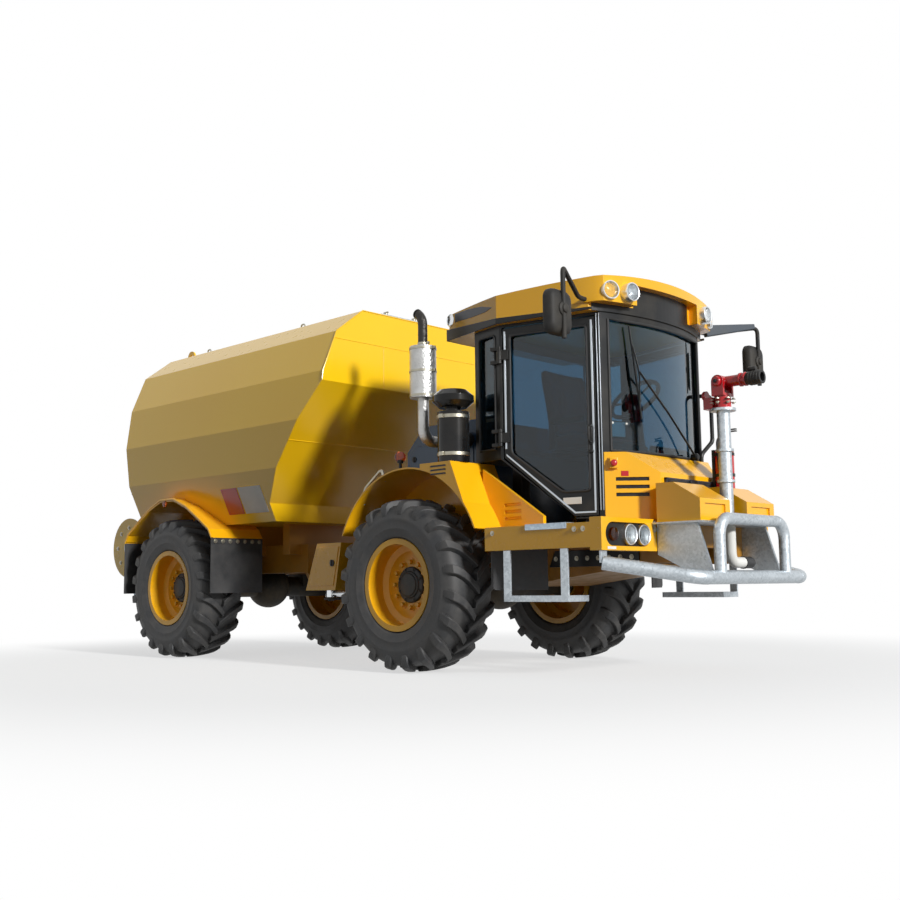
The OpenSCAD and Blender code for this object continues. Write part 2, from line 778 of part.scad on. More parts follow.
module nose() color("#e8a90c") front_unit() difference() {
    intersection() {
        translate([0, 0, nose_low_z]) linear_extrude(nose_rear_z - nose_low_z) difference() {
            polygon([[cab_pillar_x, nose_rear_half], [nose_cheek_x, nose_rear_half],
                [nose_x, nose_front_w / 2], [nose_x, -nose_front_w / 2], [nose_cheek_x, -nose_rear_half],
                [cab_pillar_x, -nose_rear_half]]);
            cab_plan(-seat_gap);
        }
        side_plate(-cab_w, 2 * cab_w) polygon([[cab_pillar_x - over, nose_low_z],
            [cab_pillar_x - over, nose_rear_z], [cab_pillar_x + screen_bulge, nose_rear_z],
            [nose_x, nose_front_z], [nose_x, nose_low_z]]);
    }
    cheek = [nose_x - nose_cheek_x, nose_rear_half - nose_front_w / 2];
    cheek_len = norm(cheek);
    start = cheek_len * (1 - nose_louvre_len_share) / 2;
    both_sides() translate([nose_cheek_x, nose_rear_half, nose_louvre_z]) rotate(-atan2(cheek.y, cheek.x))
        for (i = [0 : nose_louvres - 1])
            translate([start, -nose_louvre_depth, i * nose_louvre_pitch])
                cube([cheek_len * nose_louvre_len_share, nose_louvre_depth + over, nose_louvre_h]);
}

module nose_grille() color("#1a1a1a") front_unit() difference() {
    block([nose_x, -grille_half_w, grille_z[0]], [nose_x + grille_t, grille_half_w, grille_z[1]]);
    pitch = (grille_z[1] - grille_z[0]) / (grille_bars + 1);
    for (i = [0 : grille_bars - 1])
        translate([nose_x + grille_t / 2, grille_t - grille_half_w,
            grille_z[0] + (i + grille_first_share) * pitch])
            cube([grille_t, 2 * (grille_half_w - grille_t), pitch * (1 - grille_bar_share)]);
}

// Bull bar: front run, raked side tubes and the hoop
bar_side_x = 1735;
bar_side_y = 1000;
bar_side_z = 745;
bar_bend_r = 160;
hoop_bend_r = 110;
hoop_d = 76;
bar_lug_t = 16;
bar_lug_half_w = 30;

module bull_bar() color("#b9bec1") front_unit() {
    tube_run([[bar_side_x, -bar_side_y, bar_side_z], [bar_x, -bar_half_w, bar_z],
        [bar_x, bar_half_w, bar_z], [bar_side_x, bar_side_y, bar_side_z]], bar_d / 2, bar_bend_r);
    tube_run([[bar_x, -hoop_half_w, bar_z], [bar_x, -hoop_half_w, hoop_z], [bar_x, hoop_half_w, hoop_z],
        [bar_x, hoop_half_w, bar_z]], hoop_d / 2, hoop_bend_r);
    both_sides() block([bar_side_x, bar_side_y - bar_lug_half_w, bar_side_z],
        [bar_side_x + bar_lug_t, bar_side_y + bar_lug_half_w, lamp_panel_z[0]]);
}

// Galvanised arms that carry the bull bar, and the plate on top of them
arm_t = 20;
arm_x = 1775;
arm_low_z = 800;
arm_tip_z = [605, 690];
arm_knee_x = 2080;
front_plate_x = 2150;
front_plate_t = 12;
front_plate_half_w = 500;

module bar_arms() color("#aeb4b7") front_unit() {
    tip_x = bar_x - bar_d / 2 - seat_gap;
    both_sides() side_plate(rail_out, arm_t)
        polygon([[arm_x, arm_low_z], [arm_x, rail_top], [arm_knee_x, rail_top], [tip_x, arm_tip_z[1]],
            [tip_x, arm_tip_z[0]]]);
    block([arm_x, -front_plate_half_w, rail_top],
        [front_plate_x, front_plate_half_w, rail_top + front_plate_t]);
}

// Two wedge-topped lockers on the front plate
locker_x = [1800, 2125];
locker_y = [110, 480];
locker_z = [1265, 1150];
locker_flat_x = 1930;
locker_panel_inset = 60;
locker_panel_depth = 12;

module front_lockers() color("#efb81a") front_unit() both_sides() difference() {
    low = rail_top + front_plate_t;
    side_plate(locker_y[0], locker_y[1] - locker_y[0])
        polygon([[locker_x[0], low], [locker_x[0], locker_z[0]], [locker_flat_x, locker_z[0]],
            [locker_x[1], locker_z[1]], [locker_x[1], low]]);
    block([locker_x[1] - locker_panel_depth, locker_y[0] + locker_panel_inset, low + locker_panel_inset / 2],
        [locker_x[1] + over, locker_y[1] - locker_panel_inset, locker_z[1] - locker_panel_inset / 2]);
}

// Standpipe with its flanges
pipe_flange_d = 170;
pipe_flange_t = 18;
pipe_rings_shares = [0.35, 0.62];
pipe_ring_d = 120;

module standpipe() color("#b5babd") front_unit() translate([pipe_x, 0, 0]) {
    low = rail_top + front_plate_t;
    translate([0, 0, low]) cylinder(d = pipe_d, h = pipe_top_z - low);
    translate([0, 0, low]) cylinder(d = pipe_flange_d, h = pipe_flange_t);
    translate([0, 0, pipe_top_z - pipe_flange_t]) cylinder(d = pipe_flange_d, h = pipe_flange_t);
    for (share = pipe_rings_shares)
        translate([0, 0, low + share * (pipe_top_z - low)]) cylinder(d = pipe_ring_d, h = pipe_flange_t);
    translate([0, 0, pipe_top_z]) cylinder(d = spigot_d, h = spigot_h);
}

// Water monitor: turret that turns on the standpipe and barrel that lifts on the turret
spigot_d = 60;
spigot_h = 60;
turret_d = 110;
turret_gap = 1;
turret_h = 100;
turret_cheek_t = 18;
turret_cheek_w = 90;
turret_motor = [70, 90, 80];
lift_z = 1960;
lift_pin_d = 40;
barrel_eye_d = 90;
barrel_d = 76;
nozzle_d = 92;
nozzle_len = 120;
cheek_gap = 5;

module monitor_turret() color("#c4161c") front_unit() translate([pipe_x, 0, 0]) {
    low = pipe_top_z + turret_gap;
    inner = barrel_eye_d / 2 + cheek_gap;
    difference() {
        union() {
            translate([0, 0, low]) cylinder(d = turret_d, h = turret_h);
            both_sides() {
                block([-turret_cheek_w / 2, inner, low + turret_h - turret_cheek_t],
                    [turret_cheek_w / 2, inner + turret_cheek_t, lift_z]);
                translate([0, 0, lift_z]) roller(inner, turret_cheek_t, turret_cheek_w / 2);
            }
            block([-turret_cheek_w / 2, -inner - turret_cheek_t, low + turret_h - turret_cheek_t],
                [turret_cheek_w / 2, inner + turret_cheek_t, low + turret_h]);
        }
        translate([0, 0, low - over]) cylinder(d = spigot_d + 2 * fit, h = spigot_h + over + turret_gap);
    }
    translate([0, 0, lift_z]) roller(-inner, 2 * inner, lift_pin_d / 2);
    translate([-turret_d / 2 - turret_motor.x + turret_gap, -turret_motor.y / 2, low]) cube(turret_motor);
}

module monitor_barrel() color("#cc1a1f") front_unit() translate([pipe_x, 0, lift_z]) difference() {
    eye = barrel_eye_d / 2;
    union() {
        roller(-eye, barrel_eye_d, eye);
        rotate([0, 90, 0]) cylinder(d = barrel_d, h = front_overhang - nozzle_len - pipe_x);
    }
    roller(-eye - over, barrel_eye_d + 2 * over, lift_pin_d / 2 + fit);
}

module monitor_nozzle() color("#1b1c1d") front_unit() {
    start = front_overhang - nozzle_len;
    translate([start, 0, lift_z]) rotate([0, 90, 0]) rotate_extrude() polygon([[0, 0], [barrel_d / 2, 0],
        [nozzle_d / 2, nozzle_len / 4], [nozzle_d / 2, nozzle_len], [nozzle_d / 3, nozzle_len],
        [nozzle_d / 4, nozzle_len / 2], [0, nozzle_len / 2]]);
}

// Air cleaner on the right fender box
cleaner_x = 400;
cleaner_d = 230;
cleaner_clear = 70;
cleaner_y = -(cab_rear_w / 2 + cleaner_clear + cleaner_d / 2);
cleaner_top_z = 1850;
bowl_d = 300;
bowl_h = 130;
bowl_neck_h = 30;

module air_cleaner() color("#121314") front_unit() translate([cleaner_x, cleaner_y, 0]) {
    translate([0, 0, fender_box_z]) cylinder(d = cleaner_d, h = cleaner_top_z - fender_box_z);
    translate([0, 0, cleaner_top_z]) cylinder(d = cleaner_d / 2, h = bowl_neck_h);
    translate([0, 0, cleaner_top_z + bowl_neck_h]) rotate_extrude() polygon([[0, 0], [bowl_d / 3, 0],
        [bowl_d / 2, bowl_h / 3], [bowl_d / 2, 2 * bowl_h / 3], [bowl_d / 3, bowl_h], [0, bowl_h]]);
}

// Exhaust: elbow out of the hood, wrapped muffler and the curved stack
exhaust_x = 20;
exhaust_y = -850;
exhaust_r = 42;
exhaust_bend_r = 90;
exhaust_port_z = 1690;
muffler_d = 200;
muffler_z = [2010, 2400];
stack_top_z = 2680;
stack_bend_r = 110;
stack_r = 36;
stack_turn = 60;

module exhaust() color("#a8adb0") front_unit() {
    tube_run([[exhaust_x, -hood_half_w, exhaust_port_z], [exhaust_x, exhaust_y, exhaust_port_z],
        [exhaust_x, exhaust_y, muffler_z[0]]], exhaust_r, exhaust_bend_r);
    translate([exhaust_x, exhaust_y, 0]) {
        translate([0, 0, muffler_z[0]]) cylinder(d = muffler_d, h = muffler_z[1] - muffler_z[0]);
        translate([0, 0, muffler_z[1]]) cylinder(r = stack_r, h = stack_top_z - stack_bend_r - muffler_z[1]);
        translate([-stack_bend_r, 0, stack_top_z - stack_bend_r]) rotate([90, 0, 0])
            rotate_extrude(angle = stack_turn) translate([stack_bend_r, 0]) circle(r = stack_r, $fn = 48);
    }
}

// Side boxes behind the front wheels
side_box_x = [-1130, -700];
side_box_out = 1040;
side_box_z = [590, 955];
side_box_rake = 140;
handle_len = 170;
handle_h = 34;
handle_depth = 16;
handle_z = 880;

module side_boxes() color("#d99a0c") front_unit() both_sides() difference() {
    side_plate(side_box_in, side_box_out - side_box_in)
        polygon([[side_box_x[0], side_box_z[0]], [side_box_x[0] + side_box_rake, side_box_z[1]],
            [side_box_x[1], side_box_z[1]], [side_box_x[1] - side_box_rake / 2, side_box_z[0]]]);
    translate([side_box_x[0] + side_box_rake + handle_h, side_box_out - handle_depth, handle_z])
        cube([handle_len, handle_depth + over, handle_h]);
}

// Mirrors on their bent arms
mirror_tube_r = 16;
mirror_bend_r = 60;
mirror_root_x = 1450;
mirror_root_z = 2520;
mirror_stub = 70;
mirror_knee = [1660, 1230, 2600];
roof_side_slope = (roof_mid_half_w - roof_front_half_w) / (roof_front_x - roof_mid_x);
mirror_root_in = roof_front_x - mirror_root_x + mirror_tube_r;
mirror_root_y = roof_front_half_w + mirror_root_in * roof_side_slope + seat_gap;
mirror_drop_z = 2140;
mirror_size = [80, 220, 290];
mirror_z = 2170;
mirror_stem = 14;

module mirrors() color("#131415") front_unit() both_sides() {
    root = [mirror_root_x, mirror_root_y, mirror_root_z];
    tube_run([root, root + [0, mirror_stub, 0], mirror_knee, [mirror_knee.x, mirror_knee.y, mirror_drop_z]],
        mirror_tube_r, mirror_bend_r);
    translate([mirror_knee.x - mirror_tube_r - mirror_size.x + mirror_stem,
        mirror_knee.y - mirror_size.y / 2, mirror_z])
        cube(mirror_size);
}

// Seat and steering wheel in the cab
seat_x = [700, 1180];
seat_half_w = 250;
seat_base_half_w = 160;
seat_z = 1590;
seat_t = 120;
seat_back_t = 120;
seat_back_z = 2220;
seat_back_lean = 90;
wheel_hub = [1330, 0, 1930];
wheel_d = 380;
wheel_rim_r = 16;
wheel_tilt = -35;
wheel_spokes = 3;
column_r = 32;
boss_r = 48;
spoke_r = 8;
column_foot_x = 1420;

module seat() color("#22252a") front_unit() {
    floor_z = cab_step_z + cab_wall;
    block([seat_x[0], -seat_base_half_w, floor_z], [seat_x[1] - seat_t, seat_base_half_w, seat_z]);
    side_plate(-seat_half_w, 2 * seat_half_w) polygon([[seat_x[0], seat_z], [seat_x[1], seat_z],
        [seat_x[1], seat_z + seat_t], [seat_x[0] + seat_back_t, seat_z + seat_t],
        [seat_x[0] + seat_back_t - seat_back_lean, seat_back_z], [seat_x[0] - seat_back_lean, seat_back_z]]);
}

module steering_column() color("#1b1d1f") front_unit() {
    floor_z = cab_floor_z + cab_wall;
    foot = [column_foot_x, 0, floor_z];
    difference() {
        rod(foot - column_r * unit(wheel_hub - foot), wheel_hub, column_r);
        block([foot.x - 2 * column_r, -2 * column_r, floor_z - 2 * column_r],
            [foot.x + 2 * column_r, 2 * column_r, floor_z]);
    }
    translate(wheel_hub) rotate([0, wheel_tilt, 0]) {
        rotate_extrude() translate([wheel_d / 2, 0]) circle(r = wheel_rim_r, $fn = 32);
        for (i = [1 : wheel_spokes])
            rotate(i * 360 / wheel_spokes) rotate([0, 90, 0]) cylinder(r = spoke_r, h = wheel_d / 2);
        sphere(r = boss_r);
    }
}

// Fire extinguisher on the left locker
bottle_x = 1862;
bottle_y = 300;
bottle_d = 130;
bottle_h = 330;
bottle_head_h = 60;

module extinguisher() color("#c8141b") front_unit() translate([bottle_x, bottle_y, locker_z[0]])
    rotate_extrude() polygon([[0, 0], [bottle_d / 2, 0], [bottle_d / 2, bottle_h - bottle_d / 2],
        [bottle_d / 6, bottle_h], [bottle_d / 6, bottle_h + bottle_head_h], [0, bottle_h + bottle_head_h]]);

// Handrail at the left front pillar
rail_tube_r = 15;
rail_bend_r = 50;
rail_foot_y = 470;
rail_side_y = 590;
rail_out_x = 1600;
rail_foot_x = 1575;
rail_knee_z = 1600;
rail_high_z = 2000;
screen_centre_x = cab_pillar_x + screen_bulge - screen_r;

// Front face of the cab at a place across it
function screen_x(y) = screen_centre_x + sqrt(screen_r * screen_r - y * y);

module handrail() color("#17181a") front_unit()
    tube_run([[rail_foot_x, rail_foot_y, nose_rear_z],
        [rail_foot_x, rail_foot_y, (nose_rear_z + rail_knee_z) / 2],
        [rail_out_x, rail_side_y, rail_knee_z + rail_bend_r], [rail_out_x, rail_side_y, rail_high_z],
        [screen_x(rail_side_y - rail_tube_r) + seat_gap, rail_side_y, rail_high_z]],
        rail_tube_r, rail_bend_r);

// Hitch: steering barrel and pins, roll trunnion and the cylinder ears
hitch_gap = 5;
hitch_r = 112;
hitch_collar_r = 150;
hitch_collar_x = [-230, -150];
trunnion_x = -500;
hitch_cap_r = 70;
hitch_cap_t = 14;
hitch_cap_gap = 1;
hitch_arm_w = 120;

module hitch() color("#55585a") translate([pivot_x, 0, 0]) {
    low = yoke_low_z + yoke_t + hitch_gap;
    high = rail_top - yoke_t - hitch_gap;
    translate([0, 0, low]) cylinder(r = hitch_r, h = high - low);
    translate([0, 0, yoke_low_z - hitch_cap_gap])
        cylinder(d = pin_d, h = rail_top - yoke_low_z + 2 * hitch_cap_gap);
    translate([0, 0, rail_top + hitch_cap_gap]) cylinder(r = hitch_cap_r, h = hitch_cap_t);
    translate([0, 0, yoke_low_z - hitch_cap_gap - hitch_cap_t]) cylinder(r = hitch_cap_r, h = hitch_cap_t);
    translate([0, 0, roll_axis_z]) rotate([0, -90, 0]) {
        cylinder(d = trunnion_d, h = -trunnion_x);
        translate([0, 0, -hitch_collar_x[1]])
            cylinder(r = hitch_collar_r, h = hitch_collar_x[1] - hitch_collar_x[0]);
    }
    for (z = [ram_z - ram_lug_out, ram_z + ram_lug_in])
        translate([0, 0, z]) linear_extrude(ram_lug_t) for (side = [-1, 1]) {
            translate([ram_eye_x, side * ram_y]) circle(r = ram_lug_r);
            polygon([[ram_eye_x + ram_lug_r, side * ram_y], [ram_eye_x - ram_lug_r, side * ram_y],
                [-hitch_arm_w, 0], [0, 0]]);
        }
    both_sides() for (z = [ram_z - ram_lug_out - ram_lug_t / 2, ram_z + ram_lug_out])
        translate([ram_eye_x, ram_y, z]) cylinder(d = ram_pin_d, h = ram_lug_t / 2);
}

// Steering cylinders, drawn on the left side
module ram_barrel() color("#2b2d2f") translate([pivot_x + ram_pin_x, ram_y, ram_z]) difference() {
    union() {
        translate([0, 0, -ram_eye_h / 2]) cylinder(r = ram_eye_r, h = ram_eye_h);
        rotate([0, -90, 0]) {
            cylinder(r = ram_rod_r, h = ram_barrel_len);
            translate([0, 0, ram_lug_r + ram_lug_gap])
                cylinder(r = ram_barrel_r, h = ram_barrel_len - ram_lug_r - ram_lug_gap);
        }
    }
    translate([0, 0, -ram_barrel_r - over]) cylinder(d = ram_pin_d + 2 * fit, h = 2 * (ram_barrel_r + over));
    translate([-ram_bore_floor, 0, 0]) rotate([0, -90, 0]) cylinder(r = ram_rod_r + fit, h = ram_barrel_len);
}

module ram_rod() color("#c9cdd0") translate([pivot_x + ram_eye_x, ram_y, ram_z]) {
    length = ram_pin_x - ram_eye_x - ram_barrel_len + ram_rod_inside;
    rotate([0, 90, 0]) cylinder(r = ram_rod_r, h = length);
    translate([0, 0, -ram_eye_h / 2]) cylinder(r = ram_eye_r, h = ram_eye_h);
}

module ram_barrel_left() ram_barrel();

module ram_rod_left() ram_rod();

module ram_barrel_right() mirror([0, 1, 0]) ram_barrel();

module ram_rod_right() mirror([0, 1, 0]) ram_rod();

// Rear frame: roll bearing, rails, bearers under the tank and the rear beam
bearing_r = 165;
bearing_setback = 240;
bearing_len = 230;
rear_rail_end = -800;
rear_bulkhead_t = 40;
rear_bulkhead_z = [590, 995];
bearer_len = 90;
bearer_half_w = 560;
// Share of the way from the rear end of the rails to the bulkhead
bearer_shares = [0.06, 0.36, 0.66, 0.93];
rear_beam_t = 60;
rear_beam_half_w = 900;
rear_beam_z = [620, 760];
rear_hanger_t = 30;
reel_arm_t = 20;
reel_y = [-930, -470];
reel_z = 1020;
reel_r = 290;
reel_shaft_d = 60;
reel_x = reel_r - rear_overhang;

module rear_frame() color("#8a6a12") rear_unit() {
    bearing_x = wheelbase - pivot_setback - bearing_setback;
    bulkhead_x = bearing_x - bearing_len;
    difference() {
        union() {
            translate([bulkhead_x, 0, roll_axis_z]) rotate([0, 90, 0])
                cylinder(r = bearing_r, h = bearing_len);
            cross_plate(bulkhead_x - rear_bulkhead_t, rear_bulkhead_t)
                polygon(closed([[rail_in, rear_bulkhead_z[0]], [rail_out, rail_bottom],
                    [rail_out, rear_bulkhead_z[1]]]));
        }
        translate([bulkhead_x - rear_bulkhead_t - over, 0, roll_axis_z]) rotate([0, 90, 0])
            cylinder(d = trunnion_d + 2 * fit, h = bearing_len + rear_bulkhead_t + 2 * over);
    }
    both_sides() block([rear_rail_end, rail_in, rail_bottom],
        [bulkhead_x - rear_bulkhead_t, rail_out, rail_top]);
    for (share = bearer_shares)
        translate([rear_rail_end + share * (bulkhead_x - rear_rail_end) - bearer_len / 2, 0, 0])
            block([0, -bearer_half_w, rail_top - bearer_len], [bearer_len, bearer_half_w, tank_bottom]);
    block([rear_rail_end - rear_beam_t, -rear_beam_half_w, rear_beam_z[0]],
        [rear_rail_end, rear_beam_half_w, rear_beam_z[1]]);
    both_sides() block([rear_rail_end, rail_in, rear_beam_z[0]],
        [rear_rail_end + rear_hanger_t, rail_out, rail_top]);
    inner_y = reel_y[1] + hitch_gap;
    side_plate(inner_y, reel_arm_t) polygon([[rear_rail_end - rear_beam_t, rear_beam_z[0]],
        [rear_rail_end - rear_beam_t, rear_beam_z[1]], [reel_x - reel_shaft_d, reel_z + reel_shaft_d],
        [reel_x - reel_shaft_d, reel_z - reel_shaft_d]]);
    translate([reel_x, 0, reel_z])
        roller(reel_y[0] - hitch_gap, inner_y - reel_y[0] + hitch_gap, reel_shaft_d / 2);
}

module rear_axle() color("#3a3a36") rear_unit() axle_shape();

// Hose reel: two flanges and a drum that turn on the shaft
reel_flange_t = 12;
reel_drum_r = 150;

module hose_reel() color("#f0c21e") rear_unit() translate([reel_x, 0, reel_z]) difference() {
    union() {
        for (y = [reel_y[0], reel_y[1] - reel_flange_t])
            roller(y, reel_flange_t, reel_r);
        roller(reel_y[0], reel_y[1] - reel_y[0], reel_drum_r);
    }
    roller(reel_y[0] - over, reel_y[1] - reel_y[0] + 2 * over, reel_shaft_d / 2 + fit);
}

// Tank: folded section, with columns as shares of half the width and of the height
tank_shares = [[0.80, 0], [0.965, 0.247], [1, 0.459], [0.957, 0.676], [0.835, 0.876], [0.591, 1]];
// Rear wheel arch: columns are shares of its half length and of its height
arch_shares = [[1, 0], [0.93, 0.216], [0.694, 0.5], [0.43, 0.797], [0.153, 1]];
arch_half_len = 720;
arch_foot_z = 1050;
arch_crown_z = 1420;
arch_in_y = 610;
arch_t = 10;
tank_pipe_r = 45;
tank_pipe_bend_r = 75;
tank_pipe_y = -960;
tank_pipe_z = 1660;
tank_pipe_reach = 120;
tank_pipe_drop = 130;
lug_w = 120;
lug_h = 95;
lug_t = 16;
lug_hole_d = 46;
lug_inset = 130;
lug_root = 40;

module arch_outline(grow) {
    height = arch_crown_z - arch_foot_z;
    polygon(closed([for (p = arch_shares)
        [p.x * (arch_half_len + grow), arch_foot_z + p.y * (height + grow)]]));
}

module tank() color("#f3cf1b") rear_unit() {
    height = tank_top - tank_bottom;
    front = tank_len - tank_setback;
    difference() {
        cross_plate(-tank_setback, tank_len)
            polygon(closed([for (p = tank_shares) [p.x * tank_w / 2, tank_bottom + p.y * height]]));
        side_plate(-tank_w, 2 * tank_w)
            polygon([[tank_foot_x, tank_bottom - over], [tank_foot_x, tank_foot_z], [front, tank_brow_z],
                [front + over, tank_brow_z], [front + over, tank_bottom - over]]);
        both_sides() side_plate(arch_in_y - seat_gap, tank_w) arch_outline(seat_gap);
    }
    both_sides() side_plate(tank_w / 2 * tank_shares[5].x - lug_inset, lug_t)
        translate([lug_inset - tank_setback, tank_top]) difference() {
            union() {
                translate([0, -lug_root]) square([lug_w, lug_root + lug_h - lug_w / 2]);
                translate([lug_w / 2, lug_h - lug_w / 2]) circle(d = lug_w);
            }
            translate([lug_w / 2, lug_h - lug_w / 2]) circle(d = lug_hole_d);
        }
}

// Overflow pipe on the back of the tank
module overflow_pipe() color("#2c3238") rear_unit() {
    start = [-tank_setback, tank_pipe_y, tank_pipe_z];
    elbow = start - [tank_pipe_reach, 0, 0];
    tube_run([start, elbow, elbow - [0, 0, tank_pipe_drop]], tank_pipe_r, tank_pipe_bend_r);
}

// Filler box on top of the tank with its hinged lid
hatch_front_in = 257;
hatch_len = 400;
hatch_front_x = tank_len - tank_setback - hatch_front_in;
hatch_x = [hatch_front_x - hatch_len, hatch_front_x];
hatch_half_w = 230;
hatch_h = 80;
hatch_wall = 14;
lid_t = 14;
lid_edge = 18;
lid_hinge_r = 14;
lid_pin_d = 12;
lid_hinge_w = 60;
lid_hinge_y = 120;
lid_ear_w = 20;
lid_ear_gap = 1;
lid_hinge_x = hatch_x[0] - lid_edge - lid_hinge_r;
lid_hinge_z = tank_top + hatch_h + seat_gap + lid_t / 2;

module tank_hatch() color("#a3a9ac") rear_unit() {
    lid_ears();
    difference() {
        block([hatch_x[0], -hatch_half_w, tank_top], [hatch_x[1], hatch_half_w, tank_top + hatch_h]);
        block([hatch_x[0] + hatch_wall, hatch_wall - hatch_half_w, tank_top + hatch_wall],
            [hatch_x[1] - hatch_wall, hatch_half_w - hatch_wall, tank_top + hatch_h + over]);
    }
}

// Ears and pins of the lid's two hinges
module lid_ears() {
    reach = lid_hinge_w / 2 + lid_ear_gap + lid_ear_w;
    for (side = [-1, 1]) translate([lid_hinge_x, side * lid_hinge_y, 0]) {
        translate([0, 0, lid_hinge_z]) roller(-reach, 2 * reach, lid_pin_d / 2);
        for (y = [-reach, reach - lid_ear_w]) {
            translate([0, 0, lid_hinge_z]) roller(y, lid_ear_w, lid_hinge_r);
            block([-lid_hinge_r, y, tank_top], [lid_hinge_r, y + lid_ear_w, lid_hinge_z]);
        }
    }
}

module hatch_lid() color("#aab0b3") rear_unit() difference() {
    union() {
        block([hatch_x[0] - lid_edge, -hatch_half_w - lid_edge, tank_top + hatch_h + seat_gap],
            [hatch_x[1] + lid_edge, hatch_half_w + lid_edge, tank_top + hatch_h + seat_gap + lid_t]);
        for (side = [-1, 1]) translate([lid_hinge_x, side * lid_hinge_y - lid_hinge_w / 2, 0]) {
            translate([0, 0, lid_hinge_z]) roller(0, lid_hinge_w, lid_hinge_r);
            block([0, 0, lid_hinge_z - lid_t / 2],
                [lid_hinge_r + lid_edge, lid_hinge_w, lid_hinge_z + lid_t / 2]);
        }
    }
    translate([lid_hinge_x, 0, lid_hinge_z]) roller(-hatch_half_w, 2 * hatch_half_w, lid_pin_d / 2 + fit);
}

// Rear fenders in the tank's wheel arches
rear_lip_y = 1150;

module rear_fenders() color("#e8b011") rear_unit() both_sides() {
    side_plate(arch_in_y, rear_lip_y - arch_in_y) difference() {
        arch_outline(0);
        translate([0, -arch_t]) arch_outline(-arch_t);
        translate([-arch_half_len + arch_t, 0]) square([2 * (arch_half_len - arch_t), arch_foot_z + arch_t]);
    }
    side_plate(arch_in_y, arch_t) arch_outline(0);
}

// Rubber flaps before and behind the rear wheels
flap_t = 10;
flap_low_z = 575;

module mudflaps() color("#1f2123") rear_unit() both_sides()
    for (x = [-arch_half_len, arch_half_len - flap_t])
        block([x, arch_in_y, flap_low_z], [x + flap_t, rear_lip_y, arch_foot_z]);

// Rear spray bar with its fan heads
spray_x = -1080;
spray_z = 640;
spray_r = 40;
spray_half_w = 860;
spray_head_d = 130;
spray_head_t = 34;
spray_heads = 3;
spray_drop = 50;
spray_arm_t = 30;

module rear_spray() color("#5d6b78") rear_unit() {
    translate([spray_x, 0, spray_z]) roller(-spray_half_w, 2 * spray_half_w, spray_r);
    both_sides() block([spray_x, rail_in, spray_z - spray_r / 2],
        [rear_rail_end - rear_beam_t, rail_in + spray_arm_t, spray_z + spray_r / 2]);
    both_sides() block([rear_rail_end - rear_beam_t - spray_arm_t, rail_in, spray_z - spray_r / 2],
        [rear_rail_end - rear_beam_t, rail_in + spray_arm_t, rear_beam_z[1]]);
    reach = spray_half_w - spray_head_d;
    for (i = [0 : spray_heads - 1])
        translate([spray_x, (2 * i / (spray_heads - 1) - 1) * reach, spray_z - spray_drop])
            rotate([0, -90, 0]) cylinder(d = spray_head_d, h = spray_r + spray_head_t);
}

// Tail lamps on the rear beam
tail_t = 30;
tail_w = 180;
tail_h = 80;

module tail_lamps() color("#a31419") rear_unit() both_sides()
    translate([rear_rail_end - rear_beam_t - tail_t, rear_beam_half_w - tail_w,
        (rear_beam_z[0] + rear_beam_z[1] - tail_h) / 2])
        cube([tail_t, tail_w, tail_h]);

module tyre_front_left() color("#26282a") on_stub(front_axle_x, 1) tyre_shape();
module tyre_front_right() color("#26282a") on_stub(front_axle_x, -1) tyre_shape();
module tyre_rear_left() color("#26282a") on_stub(rear_axle_x, 1) tyre_shape();
module tyre_rear_right() color("#26282a") on_stub(rear_axle_x, -1) tyre_shape();
module rim_front_left() color("#e3a812") on_stub(front_axle_x, 1) rim_shape();
module rim_front_right() color("#e3a812") on_stub(front_axle_x, -1) rim_shape();
module rim_rear_left() color("#e3a812") on_stub(rear_axle_x, 1) rim_shape();
module rim_rear_right() color("#e3a812") on_stub(rear_axle_x, -1) rim_shape();

front_frame();
front_axle();
engine();
engine_hood();
front_fenders();
side_decks();
front_lamps();
steps();
cab_shell();
cab_glass();
cab_roof();
roof_lamps();
door_right();
door_glass_right();
door_left();
door_glass_left();
nose();
nose_grille();
bull_bar();
bar_arms();
front_lockers();
standpipe();
monitor_turret();
monitor_barrel();
monitor_nozzle();
air_cleaner();
exhaust();
side_boxes();
mirrors();
seat();
steering_column();
extinguisher();
handrail();
hitch();
ram_barrel_left();
ram_rod_left();
ram_barrel_right();
ram_rod_right();
rear_frame();
rear_axle();
hose_reel();
tank();
overflow_pipe();
tank_hatch();
hatch_lid();
rear_fenders();
mudflaps();
rear_spray();
tail_lamps();
tyre_front_left();
tyre_front_right();
tyre_rear_left();
tyre_rear_right();
rim_front_left();
rim_front_right();
rim_rear_left();
rim_rear_right();
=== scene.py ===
import json
import math

import bmesh
import bpy
from mathutils import Matrix, Vector


